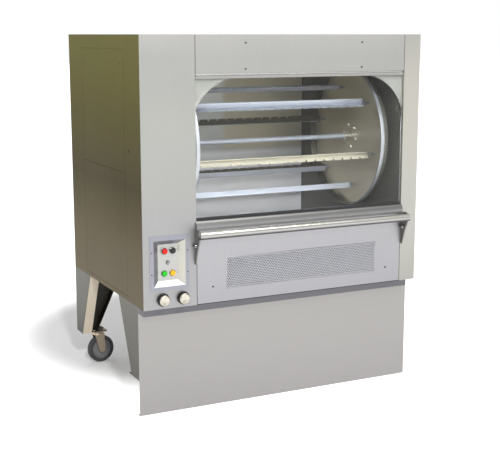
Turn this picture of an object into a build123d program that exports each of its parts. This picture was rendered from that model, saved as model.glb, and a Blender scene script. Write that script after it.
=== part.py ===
from build123d import *
import math
import os

# Free-standing gas rotisserie oven on four casters, in millimetres.
# X runs left to right, Y front to back, Z up; the origin is on the floor under the middle of the oven.

# Overall sizes
WIDTH = 1500
DEPTH = 1070
HEIGHT = 1800
BODY_BOTTOM = 543
SHEET = 2
HANDLE_REACH = 79
LEFT = -WIDTH / 2
RIGHT = WIDTH / 2
FRONT = HANDLE_REACH - (DEPTH + HANDLE_REACH) / 2
BACK = FRONT + DEPTH
BODY_HEIGHT = HEIGHT - BODY_BOTTOM

# Front frame: two full-height stiles with the header, the door and the access panel between them
CONTROL_STILE_WIDTH = 267
RIGHT_STILE_WIDTH = 93
PANEL_GAP = 3
STILE_FLANGE = 20
DOOR_LEFT = LEFT + CONTROL_STILE_WIDTH
DOOR_RIGHT = RIGHT - RIGHT_STILE_WIDTH
DOOR_MIDDLE = (DOOR_LEFT + DOOR_RIGHT) / 2
HINGE_Z = 1618
HINGE_DEPTH = 4
KNUCKLE_RADIUS = 4
KNUCKLE_LENGTH = 16.5
PIN_RADIUS = 2
HEADER_BOTTOM = HINGE_Z + KNUCKLE_RADIUS
HEADER_SCREWS_X = (LEFT + 523.4, LEFT + 1156)
HEADER_SCREWS_Z = (1762, 1642)

# Door
GLASS_BOTTOM = 958
GLASS_TOP = 1607
GLASS_THICKNESS = 6
GLASS_DEPTH = 10
TOP_RAIL_BOTTOM = 1600
TOP_RAIL_TOP = 1612.5
TOP_RAIL_DEPTH = (2, 18)
BOTTOM_RAIL_TOP = 944
BOTTOM_RAIL_BOTTOM = 876
BOTTOM_RAIL_BULGE = 14
RAIL_BACK_DEPTH = 18
HANDLE_RADIUS = 19
HANDLE_WALL = 2
HANDLE_Z = 884
HANDLE_DEPTH = HANDLE_RADIUS - HANDLE_REACH
HANDLE_LEFT = LEFT + 258
HANDLE_RIGHT = LEFT + 1416
BRACKET_THICKNESS = 6
BRACKET_TOP = 908
BRACKET_TIP = 739
BRACKET_BACK_DEPTH = -1.5
BRACKETS_X = (LEFT + 261, LEFT + 1413)
BOLT_Z = 829
BOLT_DEPTH = -14
BOLT_RADIUS = 12
BOLT_DOME = 11

# Mouth plate behind the door and the cavity behind it
MOUTH_DEPTH = 19
MOUTH_BOTTOM = 940
MOUTH_TOP = 1603
MOUTH_LEFT = LEFT + 258
MOUTH_RIGHT = LEFT + 1417
MOUTH_CORNER = 242
MOUTH_PLATE_BOTTOM = 892
CAVITY_LEFT = LEFT + 258
CAVITY_RIGHT = LEFT + 1406
CAVITY_BACK_DEPTH = 1047
CAVITY_FLOOR = 692
CAVITY_CEILING = 1690
FLUE_WIDTH = 400
FLUE_LENGTH = 90
FLUE_DEPTH = 930

# Lower access panel with its air grille
ACCESS_TOP = 875
GRILLE_LEFT = LEFT + 420
GRILLE_RIGHT = LEFT + 1255
GRILLE_BOTTOM = 608
GRILLE_TOP = 760
GRILLE_COLUMNS = 44
GRILLE_ROWS = 3
ACCESS_SCREWS_X = (LEFT + 351, LEFT + 1319)
ACCESS_SCREWS_Z = 623

# Stand: dark rail and apron in front, four folded corner legs
RAIL_HEIGHT = 29
APRON_DEPTH = 76
RAIL_LENGTH = 1449
APRON_BOTTOM = 9
APRON_RETURN = 24
LEG_TOP_WIDTH = 272
LEG_FOOT_WIDTH = 105
LEG_FLANGE = 50
LEG_PLATE = 3
FOOT_Z = 183
FOOT_PLATE = 4

# Casters: swivel axes measured from the nearer side and from the front plane
WHEEL_RADIUS = 75
WHEEL_WIDTH = 32
CASTER_TRAIL = 16
CASTER_INSET_X = 98
FRONT_CASTER_DEPTH = 176
REAR_CASTER_DEPTH = 1012
CASTER_PLATE = 4
CASTER_PLATE_SIZE = 80
RACEWAY_HEIGHT = 8
RUNNING_GAP = 0.3
CASTERS = {
    "front_left": (LEFT + CASTER_INSET_X, FRONT + FRONT_CASTER_DEPTH, 94),
    "front_right": (RIGHT - CASTER_INSET_X, FRONT + FRONT_CASTER_DEPTH, 84),
    "rear_left": (LEFT + CASTER_INSET_X, FRONT + REAR_CASTER_DEPTH, 7.6),
    "rear_right": (RIGHT - CASTER_INSET_X, FRONT + REAR_CASTER_DEPTH, 172),
}

# Side panels with two removable covers each
COVER_FRONT_DEPTH = 215
COVER_BACK_DEPTH = 850
COVER_TOP = 1736
COVER_SEAM = 1159
COVER_BOTTOM = 565
COVER_GAP = 1.5
COVER_LIP = 80
COVER_SCREWS = ((268, 1665), (818, 1665), (277, 1227), (805, 1227))

# Control panel
BEZEL_LEFT, BEZEL_RIGHT = LEFT + 32, LEFT + 229
BEZEL_BOTTOM, BEZEL_TOP = 630, 889
DISH_LEFT, DISH_RIGHT = LEFT + 50, LEFT + 212
DISH_BOTTOM, DISH_TOP = 646, 868
DISH_FLOOR_LEFT, DISH_FLOOR_RIGHT = LEFT + 81.5, LEFT + 180.5
DISH_FLOOR_BOTTOM, DISH_FLOOR_TOP = 672, 844
DISH_DEPTH = 26
DEVICE_LEFT_X = LEFT + 113.5
DEVICE_RIGHT_X = LEFT + 154.5
BUTTON_Z = 812
LAMP_Z = 705
SELECTOR_X, SELECTOR_Z = LEFT + 132, 756
BUTTON_RADIUS = 12.5
COLLAR_RADIUS = 15
STEM_RADIUS = 6
BEZEL_SCREWS_X = (LEFT + 41.5, LEFT + 221.5)
BEZEL_SCREWS_Z = (812, 709.5)
KNOB_SKIRT_RADIUS = 31
KNOB_RADIUS = 25
KNOB_REACH = 28
KNOBS_X = (LEFT + 96, LEFT + 196)
KNOB_Z = 587
SPINDLE_RADIUS = 4

# Rotor: two rimmed discs on a shaft carry six notched spits
ROTOR_DEPTH = 460
ROTOR_Y = FRONT + ROTOR_DEPTH
ROTOR_Z = 1258
SHAFT_RADIUS = 13
SHAFT_LEFT = LEFT + 150
SHAFT_RIGHT = LEFT + 1440
DISC_RADIUS = 372
RIM_WIDTH = 41
RIM_THICKNESS = 3
HEM_WIDTH = 19
HEM_THICKNESS = 5
DISC_PLATE = 3
DISC_LEFT = LEFT + 288
DISC_RIGHT = LEFT + 1378
HUB_RADIUS = 21
HUB_LENGTH = 40
HUB_BOLT_CIRCLE = 60
HUB_BOLTS = 6
SPIT_COUNT = 6
SPIT_PITCH_RADIUS = 268
SPIT_START = 75.5
SPIT_APEX = 12
SPIT_LEG = 31
SPIT_SHEET = 3
SPIT_NOTCH = 53
SPIT_TOOTH = 9
SPIT_END_GAP = 45
SPIT_PIN_RADIUS = 6
SPIT_PIN_OVERHANG = 5

SCREW_RADIUS = 5
SCREW_HEAD = 1.5
GAS_X, GAS_Y = RIGHT - 180, BACK - 90
GAS_BORE_RADIUS = 12
GLAND_X, GLAND_Y = RIGHT - 320, BACK - 90


def front_plane(depth):
    """Plane parallel to the front, a depth behind it; its normal looks out to the front."""
    return Plane.XZ.offset(-(FRONT + depth))


def slab(u0, u1, v0, v1, mode=Mode.ADD):
    """Rectangle between two corners in the plane of the sketch."""
    with Locations(((u0 + u1) / 2, (v0 + v1) / 2)):
        Rectangle(u1 - u0, v1 - v0, mode=mode)


def save(built, label):
    """Name a finished piece and write it out."""
    built.part.label = label
    export_step(built.part, f"parts/{label}.step")


def side_panel(label, side):
    """Outer skin with folded edges; a joggled lip behind its window carries the covers."""
    skin = Plane.YZ.offset(side * (WIDTH / 2 - SHEET / 2))
    lip = Plane.YZ.offset(side * (WIDTH / 2 - SHEET * 3 / 2))
    window = (FRONT + COVER_FRONT_DEPTH, FRONT + COVER_BACK_DEPTH, COVER_BOTTOM, COVER_TOP)
    edge = COVER_GAP * 8
    with BuildPart() as panel:
        with BuildSketch(skin):
            slab(FRONT + SHEET, BACK - SHEET, BODY_BOTTOM, HEIGHT)
            slab(*window, mode=Mode.SUBTRACT)
        extrude(amount=SHEET / 2, both=True)
        with BuildSketch(lip):
            slab(window[0] - edge, window[1] + edge, window[2] - edge, window[3] + edge)
            slab(window[0] + COVER_LIP, window[1] - COVER_LIP, window[2] + COVER_LIP,
                 COVER_SEAM - COVER_LIP / 2, mode=Mode.SUBTRACT)
            slab(window[0] + COVER_LIP, window[1] - COVER_LIP, COVER_SEAM + COVER_LIP,
                 window[3] - COVER_LIP, mode=Mode.SUBTRACT)
        extrude(amount=SHEET / 2, both=True)
    save(panel, label)


def side_covers(label, side):
    """Upper and lower removable covers, flush in the side panel's window."""
    skin = Plane.YZ.offset(side * (WIDTH / 2 - SHEET / 2))
    front = FRONT + COVER_FRONT_DEPTH + COVER_GAP
    back = FRONT + COVER_BACK_DEPTH - COVER_GAP
    with BuildPart() as covers:
        with BuildSketch(skin):
            slab(front, back, COVER_SEAM + COVER_GAP, COVER_TOP - 3 * COVER_GAP)
            slab(front, back, COVER_BOTTOM + COVER_GAP, COVER_SEAM)
        extrude(amount=SHEET / 2, both=True)
    save(covers, label)


def top_panel():
    """Lid of the cabinet, with a row of flue slots over the duct."""
    slots = 12
    slot_pitch = FLUE_WIDTH / slots
    with BuildPart() as panel:
        with BuildSketch(Plane.XY.offset(HEIGHT - SHEET)):
            slab(LEFT + SHEET, RIGHT - SHEET, FRONT + SHEET, BACK - SHEET)
            with Locations((DOOR_MIDDLE, FRONT + FLUE_DEPTH)):
                with GridLocations(slot_pitch, 1, slots, 1):
                    SlotOverall(FLUE_LENGTH - 20, slot_pitch / 2, rotation=90, mode=Mode.SUBTRACT)
        extrude(amount=SHEET)
    save(panel, "top_panel")


def back_panel():
    """Rear wall with cooling slots behind the drive compartment."""
    rows = 6
    with BuildPart() as panel:
        with BuildSketch(front_plane(DEPTH - SHEET)):
            slab(LEFT, RIGHT, BODY_BOTTOM, HEIGHT)
            with Locations((LEFT + CONTROL_STILE_WIDTH / 2, BODY_BOTTOM + 150)):
                with GridLocations(1, 22, 1, rows):
                    SlotOverall(120, 8, mode=Mode.SUBTRACT)
        extrude(amount=-SHEET)
    save(panel, "back_panel")


def floor_frame():
    """Bottom pan of the cabinet with upturned edges, pierced for the gas pipe and the cable gland."""
    upturn = 25
    inner = SHEET * 3
    front = FRONT + MOUTH_DEPTH + SHEET
    with BuildPart() as pan:
        with BuildSketch(Plane.XY.offset(BODY_BOTTOM)):
            slab(LEFT + inner, RIGHT - inner, front, BACK - inner)
            with Locations((GAS_X, GAS_Y)):
                Circle(GAS_BORE_RADIUS + 8, mode=Mode.SUBTRACT)
            with Locations((GLAND_X, GLAND_Y)):
                Circle(12, mode=Mode.SUBTRACT)
        extrude(amount=SHEET)
        with BuildSketch(Plane.XY.offset(BODY_BOTTOM)):
            slab(LEFT + inner, RIGHT - inner, front, BACK - inner)
            slab(LEFT + inner + SHEET, RIGHT - inner - SHEET, front + SHEET, BACK - inner - SHEET,
                 mode=Mode.SUBTRACT)
        extrude(amount=upturn)
    save(pan, "floor_frame")


def control_stile():
    """Left front upright with the openings of the control panel and the knob spindles."""
    with BuildPart() as stile:
        with BuildSketch(Plane.XY.offset(BODY_BOTTOM)):
            slab(LEFT, DOOR_LEFT, FRONT, FRONT + SHEET)
        extrude(amount=BODY_HEIGHT)
        with BuildSketch(Plane.XY.offset(BODY_BOTTOM)):
            slab(DOOR_LEFT - SHEET, DOOR_LEFT, FRONT, FRONT + MOUTH_DEPTH)
            slab(LEFT + SHEET, LEFT + 2 * SHEET, FRONT, FRONT + STILE_FLANGE)
        extrude(amount=BODY_HEIGHT - SHEET)
        with BuildSketch(front_plane(0)):
            slab(DISH_LEFT - 1, DISH_RIGHT + 1, DISH_BOTTOM - 1, DISH_TOP + 1)
            with Locations(*[(x, KNOB_Z) for x in KNOBS_X]):
                Circle(SPINDLE_RADIUS + 1)
        extrude(amount=-SHEET * 2, mode=Mode.SUBTRACT)
    save(stile, "control_stile")


def right_stile():
    """Right front upright, folded the same way."""
    with BuildPart() as stile:
        with BuildSketch(Plane.XY.offset(BODY_BOTTOM)):
            slab(DOOR_RIGHT, RIGHT, FRONT, FRONT + SHEET)
        extrude(amount=BODY_HEIGHT)
        with BuildSketch(Plane.XY.offset(BODY_BOTTOM)):
            slab(DOOR_RIGHT, DOOR_RIGHT + SHEET, FRONT, FRONT + MOUTH_DEPTH)
            slab(RIGHT - 2 * SHEET, RIGHT - SHEET, FRONT, FRONT + STILE_FLANGE)
        extrude(amount=BODY_HEIGHT - SHEET)
    save(stile, "right_stile")


def header_panel():
    """Removable panel over the door with a return along its top."""
    left, right = DOOR_LEFT + PANEL_GAP, DOOR_RIGHT - PANEL_GAP
    with BuildPart() as panel:
        with BuildSketch(Plane.YZ.offset(left)):
            slab(FRONT, FRONT + SHEET, HEADER_BOTTOM, HEIGHT - SHEET)
            slab(FRONT, FRONT + MOUTH_DEPTH, HEIGHT - 2 * SHEET, HEIGHT - SHEET)
        extrude(amount=right - left)
    save(panel, "header_panel")


def mouth_frame():
    """Inner front wall with the arched mouth of the cavity."""
    inner = 2 * SHEET
    with BuildPart() as plate:
        with BuildSketch(front_plane(MOUTH_DEPTH)):
            slab(LEFT + inner, RIGHT - inner, MOUTH_PLATE_BOTTOM, HEIGHT - inner)
            with BuildLine():
                Line((MOUTH_LEFT, MOUTH_BOTTOM), (MOUTH_RIGHT, MOUTH_BOTTOM))
                Line((MOUTH_RIGHT, MOUTH_BOTTOM), (MOUTH_RIGHT, MOUTH_TOP - MOUTH_CORNER))
                CenterArc((MOUTH_RIGHT - MOUTH_CORNER, MOUTH_TOP - MOUTH_CORNER), MOUTH_CORNER, 0, 90)
                Line((MOUTH_RIGHT - MOUTH_CORNER, MOUTH_TOP), (MOUTH_LEFT + MOUTH_CORNER, MOUTH_TOP))
                CenterArc((MOUTH_LEFT + MOUTH_CORNER, MOUTH_TOP - MOUTH_CORNER), MOUTH_CORNER, 90, 90)
                Line((MOUTH_LEFT, MOUTH_TOP - MOUTH_CORNER), (MOUTH_LEFT, MOUTH_BOTTOM))
            make_face(mode=Mode.SUBTRACT)
        extrude(amount=-SHEET)
    save(plate, "mouth_frame")


def cavity_liner():
    """Two walls, back, floor and ceiling of the oven cavity, and the flue duct on the ceiling."""
    front, back = FRONT + MOUTH_DEPTH + SHEET, FRONT + CAVITY_BACK_DEPTH
    left, right = CAVITY_LEFT - SHEET, CAVITY_RIGHT + SHEET
    with BuildPart() as liner:
        for x in (left, CAVITY_RIGHT):
            with BuildSketch(Plane.YZ.offset(x)):
                slab(front, back, CAVITY_FLOOR, CAVITY_CEILING)
                with Locations((ROTOR_Y, ROTOR_Z)):
                    Circle(SHAFT_RADIUS + 4, mode=Mode.SUBTRACT)
            extrude(amount=SHEET)
        with BuildSketch(Plane.XY.offset(CAVITY_CEILING)):
            slab(left, right, front, back)
            with Locations((DOOR_MIDDLE, FRONT + FLUE_DEPTH)):
                Rectangle(FLUE_WIDTH, FLUE_LENGTH, mode=Mode.SUBTRACT)
        extrude(amount=SHEET)
        with BuildSketch(Plane.XY.offset(CAVITY_FLOOR - SHEET)):
            slab(left, right, front, back)
        extrude(amount=SHEET)
        with BuildSketch(front_plane(CAVITY_BACK_DEPTH)):
            slab(left, right, CAVITY_FLOOR - SHEET, CAVITY_CEILING + SHEET)
        extrude(amount=-SHEET)
        with BuildSketch(Plane.XY.offset(CAVITY_CEILING)):
            with Locations((DOOR_MIDDLE, FRONT + FLUE_DEPTH)):
                Rectangle(FLUE_WIDTH, FLUE_LENGTH)
                Rectangle(FLUE_WIDTH - 2 * SHEET, FLUE_LENGTH - 2 * SHEET, mode=Mode.SUBTRACT)
        extrude(amount=HEIGHT - SHEET - CAVITY_CEILING)
    save(liner, "cavity_liner")


def access_panel():
    """Lower front panel, with a stepped window that the air grille sits in."""
    left, right = DOOR_LEFT + PANEL_GAP, DOOR_RIGHT - PANEL_GAP
    bottom = BODY_BOTTOM + PANEL_GAP
    edge = 12
    with BuildPart() as panel:
        with BuildSketch(front_plane(0)):
            slab(left, right, bottom, ACCESS_TOP)
            slab(GRILLE_LEFT, GRILLE_RIGHT, GRILLE_BOTTOM, GRILLE_TOP, mode=Mode.SUBTRACT)
        extrude(amount=-SHEET)
        with BuildSketch(front_plane(SHEET)):
            slab(GRILLE_LEFT - edge, GRILLE_RIGHT + edge, GRILLE_BOTTOM - edge, GRILLE_TOP + edge)
            slab(GRILLE_LEFT + edge / 2, GRILLE_RIGHT - edge / 2, GRILLE_BOTTOM + edge / 2,
                 GRILLE_TOP - edge / 2, mode=Mode.SUBTRACT)
        extrude(amount=-SHEET)
        with BuildSketch(front_plane(SHEET)):
            slab(left, right, bottom, ACCESS_TOP)
            slab(left + SHEET, right - SHEET, bottom + SHEET, ACCESS_TOP - SHEET, mode=Mode.SUBTRACT)
        extrude(amount=-edge)
    save(panel, "burner_access_panel")


def vent_grille():
    """Punched plate that lets combustion air in, rows of upright slots."""
    clearance = 0.2
    pitch_x = (GRILLE_RIGHT - GRILLE_LEFT) / (GRILLE_COLUMNS + 1)
    pitch_z = (GRILLE_TOP - GRILLE_BOTTOM) / GRILLE_ROWS
    with BuildPart() as grille:
        with BuildSketch(front_plane(0)):
            slab(GRILLE_LEFT + clearance, GRILLE_RIGHT - clearance, GRILLE_BOTTOM + clearance,
                 GRILLE_TOP - clearance)
            with Locations(((GRILLE_LEFT + GRILLE_RIGHT) / 2, (GRILLE_BOTTOM + GRILLE_TOP) / 2)):
                with GridLocations(pitch_x, pitch_z, GRILLE_COLUMNS, GRILLE_ROWS):
                    Rectangle(pitch_x / 2, pitch_z * 0.7, mode=Mode.SUBTRACT)
        extrude(amount=-SHEET)
    save(grille, "vent_grille")


def front_rail():
    """Dark channel that closes the gap between the overhanging cabinet front and the apron."""
    with BuildPart() as rail:
        with BuildSketch(Plane.YZ.offset(LEFT)):
            slab(FRONT, FRONT + APRON_DEPTH, BODY_BOTTOM - RAIL_HEIGHT, BODY_BOTTOM)
            slab(FRONT + SHEET, FRONT + APRON_DEPTH, BODY_BOTTOM - RAIL_HEIGHT + SHEET,
                 BODY_BOTTOM - SHEET, mode=Mode.SUBTRACT)
        extrude(amount=RAIL_LENGTH)
        with BuildSketch(Plane.YZ.offset(LEFT)):
            slab(FRONT, FRONT + APRON_DEPTH, BODY_BOTTOM - RAIL_HEIGHT, BODY_BOTTOM)
        extrude(amount=SHEET)
        with BuildSketch(Plane.YZ.offset(LEFT + RAIL_LENGTH)):
            slab(FRONT, FRONT + APRON_DEPTH, BODY_BOTTOM - RAIL_HEIGHT, BODY_BOTTOM)
        extrude(amount=-SHEET)
    save(rail, "front_rail")


def apron():
    """Kick panel in front of the legs, folded back along its foot."""
    with BuildPart() as sheet:
        with BuildSketch(Plane.YZ.offset(LEFT)):
            slab(FRONT + APRON_DEPTH, FRONT + APRON_DEPTH + SHEET, APRON_BOTTOM, BODY_BOTTOM)
            slab(FRONT + APRON_DEPTH, FRONT + APRON_DEPTH + APRON_RETURN, APRON_BOTTOM,
                 APRON_BOTTOM + SHEET)
        extrude(amount=WIDTH)
    save(sheet, "apron")


def leg(label, side, end):
    """Corner leg folded from plate: two tapered sides, a flange along each slanted edge, a foot."""
    corner_x = side * WIDTH / 2
    corner_y = BACK if end > 0 else FRONT + APRON_DEPTH + SHEET
    caster_y = FRONT + (REAR_CASTER_DEPTH if end > 0 else FRONT_CASTER_DEPTH)
    foot_depth = abs(caster_y - corner_y) + CASTER_PLATE_SIZE / 2 + 1
    foot_width = CASTER_INSET_X + CASTER_PLATE_SIZE / 2 + 1
    inner_x, inner_y = corner_x - side * foot_width, corner_y - end * foot_depth

    def taper(corner, direction):
        """Tapered outline of one side, from the corner inwards."""
        return [(corner, FOOT_Z), (corner + direction * LEG_FOOT_WIDTH, FOOT_Z),
                (corner + direction * LEG_TOP_WIDTH, BODY_BOTTOM), (corner, BODY_BOTTOM)]

    def flange(corner, direction):
        """Thin strip along the slanted edge."""
        foot, top = taper(corner, direction)[1:3]
        return [foot, top, (top[0] - direction * LEG_PLATE, top[1]),
                (foot[0] - direction * LEG_PLATE, foot[1])]

    with BuildPart() as corner_leg:
        for outline, reach in ((taper, LEG_PLATE), (flange, LEG_FLANGE)):
            with BuildSketch(Plane.YZ.offset(corner_x)):
                Polygon(*outline(corner_y, -end), align=None)
            extrude(amount=-side * reach)
            with BuildSketch(Plane.XZ.offset(-corner_y)):
                Polygon(*outline(corner_x, -side), align=None)
            extrude(amount=end * reach)
        with BuildSketch(Plane.XY.offset(FOOT_Z)):
            slab(min(corner_x, inner_x), max(corner_x, inner_x), min(corner_y, inner_y), max(corner_y, inner_y))
        extrude(amount=FOOT_PLATE)
    save(corner_leg, label)


def caster_plates():
    """Fixed upper half of each caster: screw plate, ball race and king pin."""
    race_top = FOOT_Z - CASTER_PLATE
    with BuildPart() as plates:
        for x, y, _ in CASTERS.values():
            with BuildSketch(Plane.XY.offset(race_top)):
                with Locations((x, y)):
                    RectangleRounded(CASTER_PLATE_SIZE, CASTER_PLATE_SIZE, 8)
            extrude(amount=CASTER_PLATE)
            with BuildSketch(Plane.XY.offset(race_top)):
                with Locations((x, y)):
                    Circle(28)
            extrude(amount=-RACEWAY_HEIGHT, taper=15)
            with BuildSketch(Plane.XY.offset(race_top - RACEWAY_HEIGHT)):
                with Locations((x, y)):
                    Circle(8)
            extrude(amount=-14)
    save(plates, "caster_plates")


def caster_fork(label, x, y, angle):
    """Swivelling fork pressed from plate, with the wheel bolt through its cheeks."""
    head_top = FOOT_Z - CASTER_PLATE - RACEWAY_HEIGHT - RUNNING_GAP
    head_height = 10
    cheek_gap = WHEEL_WIDTH + 8
    cheek_sheet = 4
    swivel = Plane(origin=(x, y, 0), x_dir=(math.cos(math.radians(angle)), math.sin(math.radians(angle)), 0))
    cheek_side = Plane(origin=swivel.origin, x_dir=swivel.x_dir, z_dir=-swivel.y_dir)
    with BuildPart() as fork:
        with BuildSketch(swivel.offset(head_top - head_height)):
            Circle(32)
            Circle(8 + RUNNING_GAP, mode=Mode.SUBTRACT)
        extrude(amount=head_height)
        with BuildSketch(cheek_side.offset(-cheek_gap / 2 - cheek_sheet)):
            with BuildLine():
                Polyline((30, head_top - head_height / 2), (-26, head_top - head_height / 2),
                         (CASTER_TRAIL - 18, WHEEL_RADIUS - 2))
                ThreePointArc((CASTER_TRAIL - 18, WHEEL_RADIUS - 2), (CASTER_TRAIL, WHEEL_RADIUS - 18),
                              (CASTER_TRAIL + 18, WHEEL_RADIUS - 2))
                Line((CASTER_TRAIL + 18, WHEEL_RADIUS - 2), (30, head_top - head_height / 2))
            make_face()
        extrude(amount=cheek_sheet)
        mirror(about=Plane(origin=swivel.origin, z_dir=swivel.y_dir))
        with BuildSketch(cheek_side.offset(-cheek_gap / 2 - cheek_sheet)):
            with Locations((CASTER_TRAIL, WHEEL_RADIUS)):
                Circle(6)
        extrude(amount=cheek_gap + 2 * cheek_sheet, mode=Mode.SUBTRACT)
        with BuildSketch(cheek_side.offset(-cheek_gap / 2 - cheek_sheet - 6)):
            with Locations((CASTER_TRAIL, WHEEL_RADIUS)):
                RegularPolygon(10, 6)
        extrude(amount=6)
        with BuildSketch(cheek_side.offset(-cheek_gap / 2 - cheek_sheet)):
            with Locations((CASTER_TRAIL, WHEEL_RADIUS)):
                Circle(5.9)
        extrude(amount=cheek_gap + 2 * cheek_sheet + 3)
    save(fork, label)


def wheel_plane(x, y, angle):
    """Plane through the middle of a wheel, its normal along the axle."""
    along = Vector(math.cos(math.radians(angle)), math.sin(math.radians(angle)), 0)
    hub = Vector(x, y, WHEEL_RADIUS) + along * CASTER_TRAIL
    return Plane(origin=hub, x_dir=along, z_dir=along.cross(Vector(0, 0, 1)))


def caster_wheel(label, x, y, angle):
    """Wheel centre: hub, web and rim turned in one piece."""
    axle = wheel_plane(x, y, angle)
    profile_plane = Plane(origin=axle.origin, x_dir=axle.x_dir, z_dir=-axle.y_dir)
    half = WHEEL_WIDTH / 2
    with BuildPart() as wheel:
        with BuildSketch(profile_plane):
            with BuildLine():
                Polyline((6.3, half + 2), (18, half + 2), (20, 6), (46, 5), (50, half - 2), (54, half - 2),
                         (54, 2 - half), (50, 2 - half), (46, -5), (20, -6), (18, -half - 2),
                         (6.3, -half - 2), close=True)
            make_face()
        revolve(axis=Axis(axle.origin, axle.z_dir))
    save(wheel, label)


def caster_tyre(label, x, y, angle):
    """Rubber tyre with rounded shoulders, seated on the rim."""
    axle = wheel_plane(x, y, angle)
    profile_plane = Plane(origin=axle.origin, x_dir=axle.x_dir, z_dir=-axle.y_dir)
    half = WHEEL_WIDTH / 2
    with BuildPart() as tyre:
        with BuildSketch(profile_plane):
            slab(54, WHEEL_RADIUS, -half, half)
            outer = vertices().sort_by(Axis((0, 0, 0), tuple(profile_plane.x_dir)))[-2:]
            fillet(outer, 7)
        revolve(axis=Axis(axle.origin, axle.z_dir))
    save(tyre, label)


def hinge():
    """Fixed leaf of the door's continuous hinge with every other knuckle, and the pin."""
    left, right = DOOR_LEFT + PANEL_GAP, DOOR_RIGHT - PANEL_GAP
    pairs = int((right - left) / (2 * KNUCKLE_LENGTH))
    centre = (FRONT + HINGE_DEPTH, HINGE_Z)
    leaf_height = 30
    with BuildPart() as knuckle:
        with BuildSketch(Plane.YZ.offset(left)):
            slab(FRONT + SHEET, FRONT + 2 * SHEET, HINGE_Z, HEADER_BOTTOM + SHEET)
            with Locations(centre):
                Circle(KNUCKLE_RADIUS)
                Circle(PIN_RADIUS + RUNNING_GAP / 2, mode=Mode.SUBTRACT)
        extrude(amount=KNUCKLE_LENGTH - RUNNING_GAP)
    with BuildPart() as fixed:
        with BuildSketch(Plane.YZ.offset(left)):
            slab(FRONT + SHEET, FRONT + 2 * SHEET, HEADER_BOTTOM, HEADER_BOTTOM + leaf_height)
        extrude(amount=right - left)
        with Locations(*[(index * 2 * KNUCKLE_LENGTH, 0, 0) for index in range(pairs)]):
            add(knuckle.part)
        with BuildSketch(Plane.YZ.offset(left)):
            with Locations(centre):
                Circle(PIN_RADIUS)
        extrude(amount=right - left)
    save(fixed, "door_hinge")


def door_top_rail():
    """Rail that grips the glass and carries the door's knuckles of the hinge."""
    left, right = DOOR_LEFT + PANEL_GAP, DOOR_RIGHT - PANEL_GAP
    pairs = int((right - left) / (2 * KNUCKLE_LENGTH))
    front, back = (FRONT + depth for depth in TOP_RAIL_DEPTH)
    centre = (FRONT + HINGE_DEPTH, HINGE_Z)
    slack = 0.2
    with BuildPart() as knuckle:
        with BuildSketch(Plane.YZ.offset(left + KNUCKLE_LENGTH)):
            slab(FRONT + SHEET, FRONT + 2 * SHEET, TOP_RAIL_TOP - SHEET, HINGE_Z)
            with Locations(centre):
                Circle(KNUCKLE_RADIUS)
                Circle(PIN_RADIUS + RUNNING_GAP / 2, mode=Mode.SUBTRACT)
        extrude(amount=KNUCKLE_LENGTH - RUNNING_GAP)
    with BuildPart() as rail:
        with BuildSketch(Plane.YZ.offset(left)):
            slab(front, back, TOP_RAIL_BOTTOM, TOP_RAIL_TOP)
            slab(FRONT + GLASS_DEPTH - slack, FRONT + GLASS_DEPTH + GLASS_THICKNESS + slack,
                 TOP_RAIL_BOTTOM, GLASS_TOP + slack, mode=Mode.SUBTRACT)
        extrude(amount=right - left)
        with Locations(*[(index * 2 * KNUCKLE_LENGTH, 0, 0) for index in range(pairs)]):
            add(knuckle.part)
    save(rail, "door_top_rail")


def door_glass():
    """Toughened pane with ground edges."""
    with BuildPart() as pane:
        with BuildSketch(front_plane(GLASS_DEPTH)):
            slab(DOOR_LEFT + PANEL_GAP + 1, DOOR_RIGHT - PANEL_GAP - 1, GLASS_BOTTOM, GLASS_TOP)
        extrude(amount=-GLASS_THICKNESS)
        chamfer(pane.edges().group_by(Axis.Y)[0], 1)
    save(pane, "door_glass")


def door_gasket():
    """Dark seal that the lower edge of the glass stands on."""
    with BuildPart() as seal:
        with BuildSketch(front_plane(GLASS_DEPTH - 3)):
            slab(DOOR_LEFT + PANEL_GAP + 1, DOOR_RIGHT - PANEL_GAP - 1, BOTTOM_RAIL_TOP, GLASS_BOTTOM)
        extrude(amount=-GLASS_THICKNESS - 3)
    save(seal, "door_gasket")


def door_bottom_rail():
    """Bulging rail between the handle brackets, with a flange up behind the seal."""
    left = BRACKETS_X[0] + BRACKET_THICKNESS / 2
    right = BRACKETS_X[1] - BRACKET_THICKNESS / 2
    nose = -2
    with BuildPart() as rail:
        with BuildSketch(Plane.YZ.offset(left)) as section:
            with BuildLine():
                Line((FRONT + nose, BOTTOM_RAIL_BOTTOM), (FRONT + nose, BOTTOM_RAIL_TOP))
                ThreePointArc((FRONT + nose, BOTTOM_RAIL_TOP),
                              (FRONT - BOTTOM_RAIL_BULGE, (BOTTOM_RAIL_TOP + BOTTOM_RAIL_BOTTOM) / 2 + 8),
                              (FRONT + nose, BOTTOM_RAIL_BOTTOM))
            make_face()
            offset(amount=-SHEET, mode=Mode.SUBTRACT)
        extrude(amount=right - left)
        with BuildSketch(Plane.YZ.offset(DOOR_LEFT + PANEL_GAP)):
            slab(FRONT + nose - SHEET, FRONT + RAIL_BACK_DEPTH, BOTTOM_RAIL_TOP - SHEET, BOTTOM_RAIL_TOP)
            slab(FRONT + RAIL_BACK_DEPTH - 1.8, FRONT + RAIL_BACK_DEPTH, BOTTOM_RAIL_BOTTOM + 10,
                 GLASS_BOTTOM - 2)
        extrude(amount=DOOR_RIGHT - DOOR_LEFT - 2 * PANEL_GAP)
    save(rail, "door_bottom_rail")


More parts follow.
